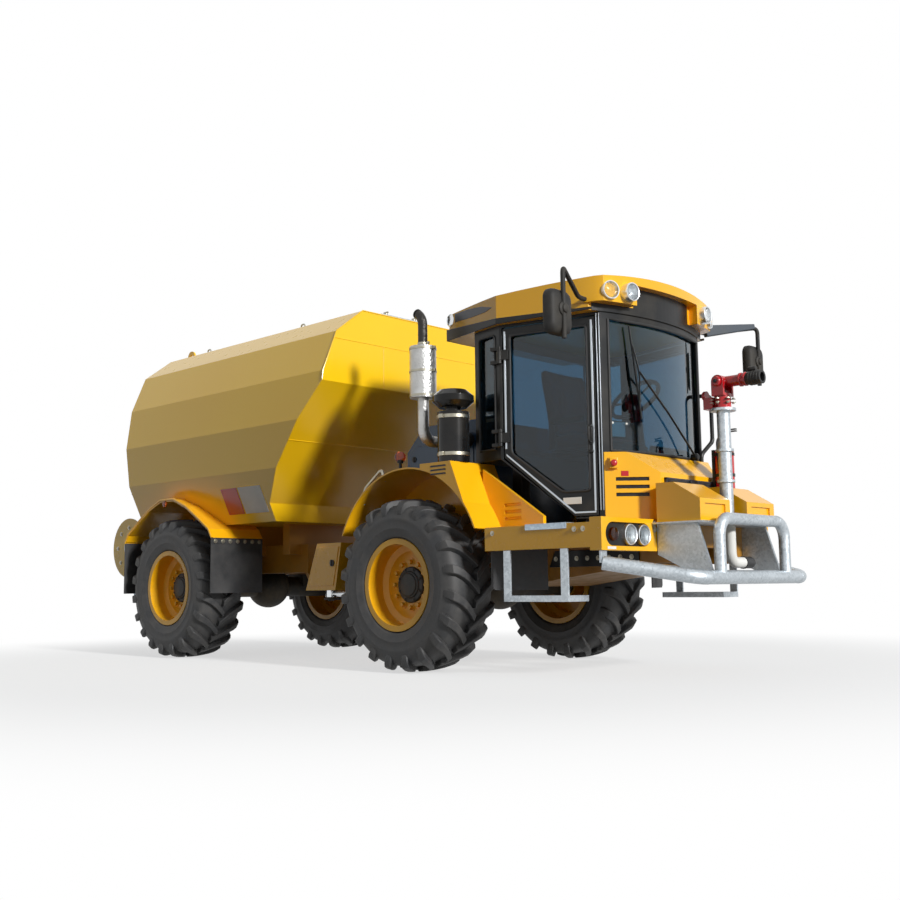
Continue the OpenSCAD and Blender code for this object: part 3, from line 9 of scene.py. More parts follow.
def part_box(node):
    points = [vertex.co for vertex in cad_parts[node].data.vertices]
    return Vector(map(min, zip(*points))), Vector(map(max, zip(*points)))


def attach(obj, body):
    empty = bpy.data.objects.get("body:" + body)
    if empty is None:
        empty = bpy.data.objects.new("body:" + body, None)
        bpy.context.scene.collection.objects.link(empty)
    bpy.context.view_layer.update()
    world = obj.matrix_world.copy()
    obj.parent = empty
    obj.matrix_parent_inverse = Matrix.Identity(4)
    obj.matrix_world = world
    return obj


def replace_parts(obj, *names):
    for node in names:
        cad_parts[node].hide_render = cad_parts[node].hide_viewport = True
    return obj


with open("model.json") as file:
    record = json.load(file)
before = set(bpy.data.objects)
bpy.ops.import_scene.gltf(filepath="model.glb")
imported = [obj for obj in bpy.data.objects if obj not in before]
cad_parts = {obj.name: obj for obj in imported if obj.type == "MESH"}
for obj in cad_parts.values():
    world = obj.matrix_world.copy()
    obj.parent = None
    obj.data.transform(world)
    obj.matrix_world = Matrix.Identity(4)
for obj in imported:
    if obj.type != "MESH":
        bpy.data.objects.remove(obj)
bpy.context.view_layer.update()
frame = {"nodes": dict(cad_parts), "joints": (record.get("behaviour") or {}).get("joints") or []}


# Chassis of both units: welded box rails and plates, sprayed in the machine's golden enamel, its colour
# darkened here as painted shade.
# A folded belly guard and bolted black side plates close the front rails, the black plates being painted
# shade, and road dust lies on everything, thickest low down.
def linear(hex_colour):
    """Linear RGBA of an sRGB hex colour."""
    parts = [int(hex_colour[i:i + 2], 16) / 255 for i in (1, 3, 5)]
    return [p / 12.92 if p <= 0.04045 else ((p + 0.055) / 1.055) ** 2.4 for p in parts] + [1]


def fill(node, inputs):
    """Sets a node's inputs: a node or a socket is linked, anything else is a constant."""
    for name, value in inputs.items():
        if isinstance(value, bpy.types.Node):
            value = next(socket for socket in value.outputs if socket.enabled)
        if isinstance(value, bpy.types.NodeSocket):
            node.id_data.links.new(value, node.inputs[name])
        else:
            node.inputs[name].default_value = value
    return node


def add_node(tree, kind, inputs, **settings):
    """Adds a node, sets it up and fills its inputs."""
    node = tree.nodes.new("ShaderNode" + kind)
    for name, value in settings.items():
        setattr(node, name, value)
    return fill(node, inputs)


def start_material(name, **values):
    """A new material with its shader's constants set, and the place on the object in metres."""
    material = bpy.data.materials.new(name)
    material.use_nodes = True
    tree = material.node_tree
    constants = {socket.replace("_", " "): value for socket, value in values.items()}
    shader = fill(tree.nodes["Principled BSDF"], constants)
    return material, tree, shader, add_node(tree, "TexCoord", {}).outputs["Object"]


def sprayed_enamel(name, colour, shade, dust, splash, roughness):
    """Alkyd enamel on steel: even and glossy, with orange peel, dust, splashes and chipped edges."""
    material, tree, shader, place = start_material(name, Coat_Weight=0.12, Coat_Roughness=0.12)
    peel_mm, fade_mm, dust_mm, splash_mm, chip_mm = 5, 900, 60, 130, 14
    splash_top, splash_full = 1.15, 0.45
    surface = add_node(tree, "NewGeometry", {})
    rounded = add_node(tree, "Bevel", {"Radius": 0.004}, samples=4)
    fade = add_node(tree, "TexNoise", {"Vector": place, "Scale": 1000 / fade_mm, "Detail": 4})
    coat = add_node(tree, "Mix", {"Factor": fade, "A": linear(colour), "B": linear(shade)}, data_type="RGBA")

    facing = add_node(tree, "SeparateXYZ", {"Vector": surface.outputs["Normal"]})
    upward = add_node(tree, "MapRange", {"Value": facing.outputs["Z"], "From Min": 0.55, "To Max": dust})
    grit = add_node(tree, "TexNoise", {"Vector": place, "Scale": 1000 / dust_mm, "Detail": 6})
    lying = add_node(tree, "Math", {0: upward, 1: grit}, operation="MULTIPLY")
    dusty = add_node(tree, "Mix", {"Factor": lying, "A": coat, "B": linear("#b9a67f")}, data_type="RGBA")

    height = add_node(tree, "SeparateXYZ", {"Vector": place})
    low = add_node(tree, "MapRange", {"Value": height.outputs["Z"], "From Min": splash_top,
                                      "From Max": splash_full, "To Max": splash})
    spots = add_node(tree, "TexNoise", {"Vector": place, "Scale": 1000 / splash_mm, "Detail": 8})
    spread = add_node(tree, "MapRange", {"Value": spots, "From Min": 0.4, "From Max": 0.66})
    muddy = add_node(tree, "Math", {0: low, 1: spread}, operation="MULTIPLY")
    soiled = add_node(tree, "Mix", {"Factor": muddy, "A": dusty, "B": linear("#6d5a3c")}, data_type="RGBA")

    bend = add_node(tree, "VectorMath", {0: rounded, 1: surface.outputs["True Normal"]},
                    operation="DOT_PRODUCT")
    edge = add_node(tree, "MapRange", {"Value": bend, "From Min": 0.96, "From Max": 0.8})
    flakes = add_node(tree, "TexNoise", {"Vector": place, "Scale": 1000 / chip_mm, "Detail": 5})
    loose = add_node(tree, "MapRange", {"Value": flakes, "From Min": 0.6, "From Max": 0.66})
    chipped = add_node(tree, "Math", {0: edge, 1: loose}, operation="MULTIPLY")
    worn = add_node(tree, "Mix", {"Factor": chipped, "A": soiled, "B": linear("#5b4630")}, data_type="RGBA")

    dull = add_node(tree, "Math", {0: lying, 1: muddy}, operation="ADD")
    gloss = add_node(tree, "MapRange", {"Value": dull, "To Min": roughness, "To Max": 0.85})
    peel = add_node(tree, "TexNoise", {"Vector": place, "Scale": 1000 / peel_mm})
    bump = add_node(tree, "Bump", {"Height": peel, "Strength": 0.1, "Distance": 0.0005, "Normal": rounded})
    fill(shader, {"Base Color": worn, "Roughness": gloss, "Normal": bump})
    return material


def two_tone(name, tones, patch, gloss, grain=None, edge=0, gritty=False, **values):
    """A finish of two tones in soft patches, with uneven gloss and a fine grain.

    patch: size in mm, detail, where the second tone starts and is full, and its largest share.
    gloss: lowest and highest roughness, which follows the patches or, on a gritty skin, the grain.
    grain: size in mm, detail, strength and depth in metres. edge: radius that sharp edges seem to have.
    """
    material, tree, shader, place = start_material(name, **values)
    patch_mm, patch_detail, start, full, most = patch
    cloud = add_node(tree, "TexNoise", {"Vector": place, "Scale": 1000 / patch_mm, "Detail": patch_detail})
    share = add_node(tree, "MapRange", {"Value": cloud, "From Min": start, "From Max": full, "To Max": most})
    tone = add_node(tree, "Mix", {"Factor": share, "A": linear(tones[0]), "B": linear(tones[1])},
                    data_type="RGBA")
    sheen = add_node(tree, "MapRange", {"Value": cloud, "To Min": gloss[0], "To Max": gloss[1]})
    fill(shader, {"Base Color": tone, "Roughness": sheen})
    if grain:
        grain_mm, grain_detail, strength, depth = grain
        fine = add_node(tree, "TexNoise", {"Vector": place, "Scale": 1000 / grain_mm, "Detail": grain_detail})
        bump = add_node(tree, "Bump", {"Height": fine, "Strength": strength, "Distance": depth})
        if edge:
            fill(bump, {"Normal": add_node(tree, "Bevel", {"Radius": edge}, samples=4)})
        fill(shader, {"Normal": bump})
        if gritty:
            fill(sheen, {"Value": fine})
    return material


def smooth_coat(name, colour, roughness, dust=0.12):
    """Powder coat or moulded plastic: slightly uneven gloss, fine dust and handling marks."""
    return two_tone(name, (colour, "#8d8474"), (220, 6, 0.42, 0.75, dust), (roughness * 0.8, roughness * 1.4),
                    (3, 2, 0.12, 0.0004), 0.005, Specular_IOR_Level=0.3)


def dress(material, *nodes):
    """Gives CAD nodes their finish."""
    for name in nodes:
        frame["nodes"][name].material_slots[0].material = material


def lay_on(origin, along, out):
    """Matrix of a face: X runs along it and Z out of it."""
    along, out = Vector(along).normalized(), Vector(out).normalized()
    return Matrix.Translation(origin) @ Matrix((along, out.cross(along), out)).transposed().to_4x4()


def stand_on(origin, along, out):
    """Matrix of an upright face: X runs along it, Y up and Z out of it."""
    along, out = Vector(along).normalized(), Vector(out).normalized()
    return Matrix.Translation(origin) @ Matrix((along, (0, 0, 1), out)).transposed().to_4x4()


def turn_profile(mesh, profile, place, segments=48):
    """Turns a profile of (radius, along) points about Z, and sets it in place."""
    turns = [2 * math.pi * k / segments for k in range(segments)]
    rings = []
    for radius, along in profile:
        spots = [(radius * math.cos(t), radius * math.sin(t), along) for t in turns]
        on_axis = radius < 1e-6
        rings.append([mesh.verts.new(place @ Vector(spot)) for spot in (spots[:1] if on_axis else spots)])
    for low, high in zip(rings, rings[1:]):
        for k in range(segments):
            corners = [low[k % len(low)], low[(k + 1) % len(low)],
                       high[(k + 1) % len(high)], high[k % len(high)]]
            corners = list(dict.fromkeys(corners))
            if len(corners) > 2:
                mesh.faces.new(corners)


def add_prism(mesh, outline, low, high, place=Matrix()):
    """Closed prism of an outline in XY between two heights."""
    ends = [[mesh.verts.new(place @ Vector((x, y, z))) for x, y in outline] for z in (low, high)]
    mesh.faces.new(ends[0][::-1])
    mesh.faces.new(ends[1])
    for i in range(len(outline)):
        j = (i + 1) % len(outline)
        mesh.faces.new((ends[0][i], ends[0][j], ends[1][j], ends[1][i]))


def add_box(mesh, low, high, place=Matrix()):
    """Box between two corners."""
    outline = [(low[0], low[1]), (high[0], low[1]), (high[0], high[1]), (low[0], high[1])]
    add_prism(mesh, outline, low[2], high[2], place)


def add_bolt(mesh, place, across=0.024, height=0.015):
    """Washer and hexagon head along Z, with a chamfered crown."""
    turn_profile(mesh, [(0, 0), (across * 0.95, 0), (across * 0.95, 0.003), (0, 0.003)], place, 18)
    flat = across / 2 / math.cos(math.pi / 6)
    head = [(0, 0.002), (flat, 0.002), (flat, height - 0.003), (flat * 0.82, height), (0, height)]
    turn_profile(mesh, head, place, 6)


def finish_piece(name, mesh, material, body, soften=0.0, smooth=35):
    """Makes a bmesh a piece of the object, riding on a body."""
    bmesh.ops.recalc_face_normals(mesh, faces=mesh.faces)
    data = bpy.data.meshes.new(name)
    mesh.to_mesh(data)
    mesh.free()
    data.materials.append(material)
    piece = bpy.data.objects.new(name, data)
    bpy.context.scene.collection.objects.link(piece)
    data.shade_smooth()
    data.set_sharp_from_angle(angle=math.radians(smooth))
    if soften:
        edges = piece.modifiers.new("soft_edges", "BEVEL")
        edges.width = soften
        edges.segments = 2
        edges.limit_method = "ANGLE"
        edges.angle_limit = math.radians(40)
    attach(piece, body)
    return piece


joint_at = {j["child"]: Vector(j["pos_m"]) for j in frame["joints"] if "pos_m" in j}
hands = (-1, 1)
# Outlines and spots are drawn from the axle that they stand by, side outlines in X and Z
from_front = Matrix.Translation((joint_at["wheel_front_right"].x, 0, 0))
from_rear = Matrix.Translation((joint_at["wheel_rear_right"].x, 0, 0))
front_x = from_front.translation.x
front_side = from_front @ Matrix(((1, 0, 0, 0), (0, 0, 1, 0), (0, 1, 0, 0), (0, 0, 0, 1)))


def side_plate(mesh, outline, y, thick, hand):
    """Plate on one hand of the front unit, standing out from a place across it."""
    add_prism(mesh, outline, *sorted((hand * y, hand * (y + thick))), front_side)


def side_spot(x, y, z, hand):
    """Face that looks outwards on one hand of the front unit."""
    return lay_on((front_x + x, hand * y, z), (1, 0, 0), (0, hand, 0))


# Enamel in a darkened colour that is painted shade, with real dust and mud on it, satin powder coat that
# takes soft reflections, and bolts whose thin zinc is slightly yellow and dulled at random
shaded_chassis_enamel = sprayed_enamel("sprayed_chassis_enamel_painted_shade", "#b9811a", "#a87214", 0.5, 0.6, 0.42)
satin_black = smooth_coat("powder_coat_black", "#0f1113", 0.3, 0.1)
bright_zinc = two_tone("zinc_plate", ("#b9b6a8", "#8b8677"), (30, 5, 0, 1, 1), (0.25, 0.55), Metallic=1.0)
dress(shaded_chassis_enamel, "front_frame", "rear_frame")
rail_out, rail_low = 0.425, 0.745
belly = bmesh.new()
belly_rear, belly_front, belly_low, belly_t = 0.56, 1.62, 0.60, 0.008
add_prism(belly, [(belly_rear, belly_low), (belly_rear, rail_low), (belly_rear + belly_t, rail_low),
                  (belly_rear + belly_t, belly_low + belly_t), (belly_front, rail_low),
                  (belly_front, rail_low - belly_t)], -rail_out, rail_out, front_side)
for hand in hands:
    side_plate(belly, [(belly_rear, belly_low), (belly_rear, rail_low), (belly_front, rail_low)],
               rail_out - belly_t, belly_t, hand)
finish_piece("belly_guard", belly, shaded_chassis_enamel, "front", 0.003)
# Black plates on the front rails' outer faces are painted shade of the rails; the bolts on them are real
guards, shade_plate_bolts = bmesh.new(), bmesh.new()
shade_plate_rear, shade_plate_front, shade_plate_low, shade_plate_high, shade_plate_t, bolt_pitch = 0.86, 1.62, 0.735, 0.85, 0.012, 0.092
for hand in hands:
    side_plate(guards, [(shade_plate_rear, shade_plate_low), (shade_plate_rear + 0.05, shade_plate_high), (shade_plate_front, shade_plate_high),
                        (shade_plate_front, shade_plate_low)], rail_out, shade_plate_t, hand)
    for k in range(8):
        add_bolt(shade_plate_bolts, side_spot(shade_plate_rear + 0.06 + bolt_pitch * k, rail_out + shade_plate_t,
                                        (shade_plate_low + shade_plate_high) / 2, hand), 0.018, 0.010)
finish_piece("rail_painted_shade_plates", guards, satin_black, "front", 0.002)
finish_piece("rail_shade_plate_bolts", shade_plate_bolts, bright_zinc, "front")


# Axles, hitch and engine block: iron castings under a thin dark coat, rough as they left the mould.
# Oil and road dust fill the gritty sand-cast skin, so they read as a dull brown black.
dark_casting = two_tone("sand_cast_iron", ("#26241f", "#4e4433"), (160, 6, 0.4, 0.7, 1), (0.5, 0.8),
                        (7, 6, 0.45, 0.0015), 0.008, gritty=True, Metallic=0.3)
dress(dark_casting, "front_axle", "rear_axle", "hitch", "engine")


# Steering cylinders: honed barrels in black enamel and hard-chromed rods.
# The rods are ground mirror bright, with faint draw marks.
def bright_metal(name, colour, mark_mm, gloss):
    """Polished or drawn metal: one colour, with a sheen that fine marks break up."""
    return two_tone(name, (colour, colour), (mark_mm, 3, 0, 1, 1), gloss, Metallic=1.0)


chrome = bright_metal("hard_chrome", "#d5d9dc", 4, (0.08, 0.2))
dress(satin_black, "ram_barrel_left", "ram_barrel_right")
dress(chrome, "ram_rod_left", "ram_rod_right")


# Tyres: moulded rubber with twenty chevron lugs a side, their points meeting the ground first.
# The sidewalls have raised rings, and dried mud greys the rubber between the lugs.
def moulded_rubber(name, colour, dust_colour, dust):
    """Moulded rubber: matt, finely grained, greyed by dust in broad patches."""
    return two_tone(name, (colour, dust_colour), (110, 8, 0.35, 0.75, dust), (0.42, 0.78),
                    (4, 4, 0.3, 0.0008), IOR=1.52)


def tyre_mesh(centre):
    """Carcass and lugs of one tyre about its axle."""
    mesh = bmesh.new()
    bead_r, tread_r, tip_r = 0.306, 0.586, 0.624
    side = [(bead_r, 0.184), (0.333, 0.188), (0.345, 0.206), (0.36, 0.213), (0.40, 0.221), (0.405, 0.2245),
            (0.412, 0.2245), (0.417, 0.2225), (0.462, 0.229), (0.478, 0.2315), (0.484, 0.229), (0.52, 0.222),
            (0.552, 0.207), (0.572, 0.18), (tread_r - 0.005, 0.12), (tread_r, 0.0)]
    profile = side + [(r, -a) for r, a in reversed(side[:-1])]
    upright = Matrix.Translation(centre) @ Matrix.Rotation(math.radians(-90), 4, "X")
    turn_profile(mesh, profile + profile[:1], upright, 144)
    lugs, foot = 20, 0.006
    # Columns: across from the middle, tip radius, root radius, trail round the tyre, half width, root inset
    course = [(-0.012, tip_r, 0.58, 0.0, 0.030, 0), (0.035, tip_r, 0.58, 0.044, 0.031, 0),
              (0.085, tip_r - 0.002, 0.577, 0.087, 0.033, 0), (0.135, tip_r - 0.006, 0.57, 0.122, 0.036, 0),
              (0.183, tip_r - 0.014, 0.556, 0.147, 0.040, 0.004),
              (0.216, tip_r - 0.030, 0.54, 0.160, 0.042, 0.016),
              (0.2285, tip_r - 0.056, 0.523, 0.166, 0.040, 0.02),
              (0.2295, tip_r - 0.088, 0.506, 0.169, 0.036, 0.014),
              (0.2275, tip_r - 0.118, 0.496, 0.171, 0.030, 0.006)]
    for hand in hands:
        for k in range(lugs):
            start = 2 * math.pi * (k + (0.25 if hand > 0 else 0.75)) / lugs
            rows = []
            for across, tip, root, trail, half, inset in course:
                row = []
                for reach, at, offset in ((root, across - inset, -half - foot), (tip, across, -0.8 * half),
                                          (tip, across, 0.8 * half), (root, across - inset, half + foot)):
                    turn = start + (trail + offset) / tip_r
                    spot = Vector((reach * math.cos(turn), hand * at, reach * math.sin(turn)))
                    row.append(mesh.verts.new(centre + spot))
                rows.append(row)
            for a, b in zip(rows, rows[1:]):
                for i in range(4):
                    mesh.faces.new((a[i], a[(i + 1) % 4], b[(i + 1) % 4], b[i]))
            mesh.faces.new(rows[0])
            mesh.faces.new(rows[-1][::-1])
    return mesh


tyre_rubber = moulded_rubber("moulded_tyre_rubber", "#232426", "#6a6763", 0.45)
wheels = {body[len("wheel_"):]: spot for body, spot in joint_at.items() if body.startswith("wheel_")}
for corner, centre in wheels.items():
    tyre = finish_piece("lugged_tyre_" + corner, tyre_mesh(centre), tyre_rubber, "wheel_" + corner,
                        0.005, 32)
    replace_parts(tyre, "tyre_" + corner)


# Wheels: rolled and pressed steel discs in the golden enamel, each with a ring of painted nuts,
# a valve, and the dark planetary hub that stands in the dish under a bolted cover.
def bolt_ring(mesh, place, count, radius, level, across, height, start=0.0):
    """Ring of bolts about a face's Z axis."""
    for k in range(count):
        turn = 2 * math.pi * (k + start) / count
        spot = (radius * math.cos(turn), radius * math.sin(turn), level)
        add_bolt(mesh, place @ Matrix.Translation(spot), across, height)


# A brighter enamel than the chassis has, hardly splashed, and hubs that dust has dulled
wheel_enamel = sprayed_enamel("sprayed_wheel_enamel", "#f5b814", "#e9a80f", 0.1, 0.1, 0.34)
hub_black = smooth_coat("sprayed_hub_black", "#1d2022", 0.45, 0.3)
nut_ring, valve_ring, cover_ring = 0.165, 0.27, 0.111
for corner, centre in wheels.items():
    dress(wheel_enamel, "rim_" + corner)
    outward = math.copysign(1, centre.y)
    face = Matrix.Translation(centre) @ Matrix.Rotation(math.radians(-90 * outward), 4, "X")
    nuts, cover = bmesh.new(), bmesh.new()
    bolt_ring(nuts, face, 12, nut_ring, 0.045, 0.032, 0.03)
    turn_profile(nuts, [(0, 0.03), (0.009, 0.03), (0.009, 0.05), (0.005, 0.055), (0.005, 0.085), (0, 0.087)],
                 face @ Matrix.Translation((valve_ring, 0, 0)), 12)
    finish_piece("wheel_nuts_" + corner, nuts, wheel_enamel, "wheel_" + corner)
    turn_profile(cover, [(0, 0.02), (0.131, 0.02), (0.131, 0.055), (0.124, 0.063), (0.098, 0.066),
                         (0.094, 0.074), (0.082, 0.079), (0.079, 0.086), (0.03, 0.092), (0, 0.093)], face, 56)
    bolt_ring(cover, face, 8, cover_ring, 0.064, 0.014, 0.01, 0.5)
    finish_piece("hub_cover_" + corner, cover, hub_black, "wheel_" + corner)


# Bodywork of the front unit: pressed and folded sheet in glossy golden enamel, bolted to the frame.
# The fender boxes are louvred, with a thin black strip on each louvre as painted shade of its slot, a bent
# grab handle stands on each arch, and the side boxes behind the wheels have a raised door with a latch.
def add_tube(mesh, points, radius, bend=0.0, sides=12):
    """Round tube along points, with its corners eased over a bend length."""
    points = [Vector(p) for p in points]
    path = [points[0]]
    for before, corner, after in zip(points, points[1:], points[2:]):
        if bend == 0:
            path.append(corner)
            continue
        into = corner + (before - corner).normalized() * bend
        away = corner + (after - corner).normalized() * bend
        for k in range(8):
            t = k / 7
            path.append(into * (1 - t) ** 2 + corner * 2 * t * (1 - t) + away * t ** 2)
    path.append(points[-1])
    side = (path[1] - path[0]).orthogonal().normalized()
    turns = [2 * math.pi * k / sides for k in range(sides)]
    rings = []
    for i, spot in enumerate(path):
        along = (path[min(i + 1, len(path) - 1)] - path[max(i - 1, 0)]).normalized()
        side = (side - along * side.dot(along)).normalized()
        across = along.cross(side)
        rings.append([mesh.verts.new(spot + (side * math.cos(t) + across * math.sin(t)) * radius)
                      for t in turns])
    for low, high in zip(rings, rings[1:]):
        for k in range(sides):
            mesh.faces.new((low[k], low[(k + 1) % sides], high[(k + 1) % sides], high[k]))
    mesh.faces.new(rings[0][::-1])
    mesh.faces.new(rings[-1])


# The glossy coat of the bodywork, which shows clean colour and soft highlights
body_enamel = sprayed_enamel("sprayed_golden_enamel", "#fbbb12", "#f4b00e", 0.12, 0.12, 0.26)
dress(body_enamel, "front_fenders", "side_decks", "cab_roof", "nose", "front_lockers", "rear_fenders",
      "side_boxes")
handles, painted_louvre_shade, doors, latches = (bmesh.new() for _ in range(4))
arch_x, arch_z, arch_r, handle_y = 0.035, 0.723, 0.748, 0.98
fender_lip, louvre_low, louvre_pitch, louvre_h = 1.07, 1.395, 0.028, 0.011
box_out, door_t = 1.04, 0.006
for hand in hands:
    (rear_x, rear_z), (fore_x, fore_z) = ((x, arch_z + math.sqrt(arch_r ** 2 - (x - arch_x) ** 2) - 0.012)
                                          for x in (-0.50, -0.27))
    run = [(rear_x, rear_z), (rear_x + 0.005, rear_z + 0.12), (fore_x - 0.03, fore_z + 0.1), (fore_x, fore_z)]
    add_tube(handles, [(front_x + x, hand * handle_y, z) for x, z in run], 0.012, 0.035)
    # Thin black strips on the louvres are painted shade of their slots
    for k in range(3):
        low = louvre_low + louvre_pitch * k
        side_plate(painted_louvre_shade, [(0.305, low), (0.312, low + louvre_h), (0.455, low + louvre_h), (0.462, low)],
                   fender_lip, 0.002, hand)
    door = [(-1.075, 0.625), (-0.965, 0.925), (-0.725, 0.925), (-0.79, 0.625)]
    side_plate(doors, door, box_out, door_t, hand)
    latch = side_spot(-0.80, box_out + door_t, 0.80, hand)
    turn_profile(latches, [(0, 0), (0.026, 0), (0.026, 0.006), (0.02, 0.01), (0, 0.01)], latch, 24)
    add_box(latches, (-0.006, -0.024, 0.008), (0.006, 0.024, 0.018), latch)
finish_piece("fender_handles", handles, bright_zinc, "front")
finish_piece("fender_louvre_painted_shade", painted_louvre_shade, satin_black, "front")
finish_piece("side_box_doors", doors, body_enamel, "front", 0.003)
finish_piece("side_box_latches", latches, satin_black, "front")


# Side decks: a tread pad of expanded metal folded over each deck's edge, plated bolts along the beam,
# a blank plate beside the lamps, and a rubber stone guard that hangs before each front wheel.
def galvanised_steel(name, light, dark):
    """Hot-dip zinc: spangled, matt grey and metallic."""
    material, tree, shader, place = start_material(name, Metallic=0.85)
    spangle_mm, cloud_mm = 14, 200
    spangle = add_node(tree, "TexVoronoi", {"Vector": place, "Scale": 1000 / spangle_mm})
    tone = add_node(tree, "SeparateXYZ", {"Vector": spangle.outputs["Color"]}).outputs
    cloud = add_node(tree, "TexNoise", {"Vector": place, "Scale": 1000 / cloud_mm, "Detail": 6})
    share = add_node(tree, "Math", {0: tone["X"], 1: cloud}, operation="MULTIPLY")
    mixed = add_node(tree, "Mix", {"Factor": share, "A": linear(light), "B": linear(dark)}, data_type="RGBA")
    gloss = add_node(tree, "MapRange", {"Value": tone["Y"], "To Min": 0.36, "To Max": 0.52})
    rounded = add_node(tree, "Bevel", {"Radius": 0.004}, samples=4)
    bump = add_node(tree, "Bump", {"Height": tone["Z"], "Strength": 0.06, "Distance": 0.0004,
                                   "Normal": rounded})
    fill(shader, {"Base Color": mixed, "Roughness": gloss, "Normal": bump})
    return material


# Fresh spangled zinc, the bluer zinc of the treads, dull cut rubber, and clean white print
galvanised = galvanised_steel("hot_dip_galvanised_steel", "#c3cacf", "#8d969c")
tread_zinc = galvanised_steel("expanded_zinc_tread", "#b9c6d0", "#8495a3")
sheet_rubber = moulded_rubber("cut_sheet_rubber", "#1d1e20", "#5b5957", 0.35)
blank_white = smooth_coat("printed_plate_white", "#e9e8e2", 0.35, 0.2)
dress(galvanised, "bull_bar", "bar_arms", "standpipe", "steps", "tank_hatch", "hatch_lid")
pads, deck_bolts, guards, plates = (bmesh.new() for _ in range(4))
deck_y, deck_top, panel_x = 1.05, 1.0, 1.77
pad_rear, pad_front, pad_t, pad_low = 1.16, 1.50, 0.006, 0.967
for hand in hands:
    edge = hand * (deck_y + pad_t)
    add_box(pads, (pad_rear, hand * 0.94, deck_top), (pad_front, edge, deck_top + pad_t), from_front)
    add_box(pads, (pad_rear, hand * deck_y, pad_low), (pad_front, edge, deck_top), from_front)
    for x in (0.87, 1.56, 1.63):
        add_bolt(deck_bolts, side_spot(x, deck_y, 0.96, hand), 0.018, 0.010)
    for z in (0.965, 1.005):
        add_bolt(deck_bolts, lay_on((front_x + panel_x, hand * 0.468, z), (0, 1, 0), (1, 0, 0)), 0.022, 0.012)
    add_box(plates, (panel_x, hand * 0.90, 0.828), (panel_x + 0.002, hand * 0.99, 0.846), from_front)
    hang = stand_on((front_x + 0.83, hand * 1.025, 0), (0.17, -hand * 0.40, 0), (0.40, hand * 0.17, 0))
    add_prism(guards, [(0, 0.60), (0, 0.98), (0.43, 0.98), (0.43, 0.58), (0.03, 0.58)], 0, 0.008, hang)
finish_piece("deck_tread_pads", pads, tread_zinc, "front", 0.001)
finish_piece("deck_bolts", deck_bolts, bright_zinc, "front")
finish_piece("deck_plates", plates, blank_white, "front")
finish_piece("stone_guards", guards, sheet_rubber, "front", 0.002)


# Cab: welded tube and pressings, powder coated in satin black, and glazed with tinted toughened
# panes that are bonded in, so a black rubber line runs round each. Bright aluminium strips cover
# the posts and follow the door's slope.
def tinted_glass(name, tint, roughness):
    """Float glass or clear plastic, tinted in the melt: clear, with a thin film of dust."""
    material, tree, shader, place = start_material(name, Transmission_Weight=1.0, IOR=1.5,
                                                   Base_Color=linear(tint))
    film_mm = 180
    film = add_node(tree, "TexNoise", {"Vector": place, "Scale": 1000 / film_mm, "Detail": 8})
    gloss = add_node(tree, "MapRange", {"Value": film, "From Min": 0.5, "From Max": 0.8, "To Min": roughness,
                                        "To Max": roughness + 0.015})
    fill(shader, {"Roughness": gloss})
    return material


dress(satin_black, "cab_shell", "door_right", "door_left", "handrail", "steering_column", "overflow_pipe")
dress(tinted_glass("clear_tinted_windscreen", "#6a93a8", 0.0), "cab_glass")
dress(tinted_glass("tinted_float_glass", "#527d95", 0.0), "door_glass_right", "door_glass_left")
# Anodised strip, silky with a fine grain, and matt extruded rubber
trim_silver = bright_metal("anodised_trim", "#b9c0c6", 2, (0.25, 0.45))
seal_rubber = moulded_rubber("extruded_seal_rubber", "#0c0d0e", "#3a3938", 0.2)
post_x, post_y, door_turn = 0.74, 0.80, math.atan2(0.18, 0.75)


def door_face(hand):
    """Outer face of a door: X along it from the hinge post, Y up and Z out."""
    c, s = math.cos(door_turn), math.sin(door_turn)
    return stand_on((front_x + post_x, hand * post_y, 0), (c, -hand * s, 0), (s, hand * c, 0))


window = [(0.085, 2.365), (0.671, 2.365), (0.671, 1.235), (0.474, 1.235), (0.085, 1.528)]
grip_x, strip_t = 0.688, 0.004
for hand, body in ((-1, "door_right"), (1, "door_left")):
    face = door_face(hand)
    seal, strips, grip, label = (bmesh.new() for _ in range(4))
    add_tube(seal, [face @ Vector((x, z, 0.002)) for x, z in window + window[:2]], 0.009, 0.03, 8)
    finish_piece(body + "_seal", seal, seal_rubber, body)
    add_box(strips, (0.038, 1.56, 0), (0.052, 2.40, strip_t), face)
    add_box(strips, (0.700, 1.10, 0), (0.714, 2.40, strip_t), face)
    add_prism(strips, [(0.045, 1.512), (0.045, 1.526), (0.562, 1.098), (0.71, 1.098), (0.71, 1.086),
                       (0.556, 1.086)], 0, strip_t, face)
    finish_piece(body + "_strips", strips, trim_silver, body, 0.001)
    add_box(grip, (grip_x - 0.009, 1.545, 0), (grip_x + 0.009, 1.685, 0.012), face)
    bow = [(1.56, 0.005), (1.565, 0.045), (1.665, 0.045), (1.67, 0.005)]
    add_tube(grip, [face @ Vector((grip_x, z, out)) for z, out in bow], 0.008, 0.015, 10)
    turn_profile(grip, [(0, 0), (0.014, 0), (0.014, 0.014), (0.01, 0.018), (0, 0.018)],
                 face @ Matrix.Translation((grip_x, 1.50, 0)), 20)
    finish_piece(body + "_handle", grip, satin_black, body, 0.002)
    add_prism(label, [(0.47, 1.150), (0.47, 1.196), (0.605, 1.196), (0.605, 1.150)], 0, 0.002, face)
    for along in (0.477, 0.598):
        turn_profile(label, [(0, 0.001), (0.004, 0.001), (0.003, 0.0035), (0, 0.004)],
                     face @ Matrix.Translation((along, 1.173, 0)), 12)
    finish_piece(body + "_blank_plate", label, blank_white, body, 0.0008)
pillars, quarters = bmesh.new(), bmesh.new()
wall_x, wall_y = 0.45, 0.74
wall_slope = (post_y - wall_y) / (post_x - wall_x)
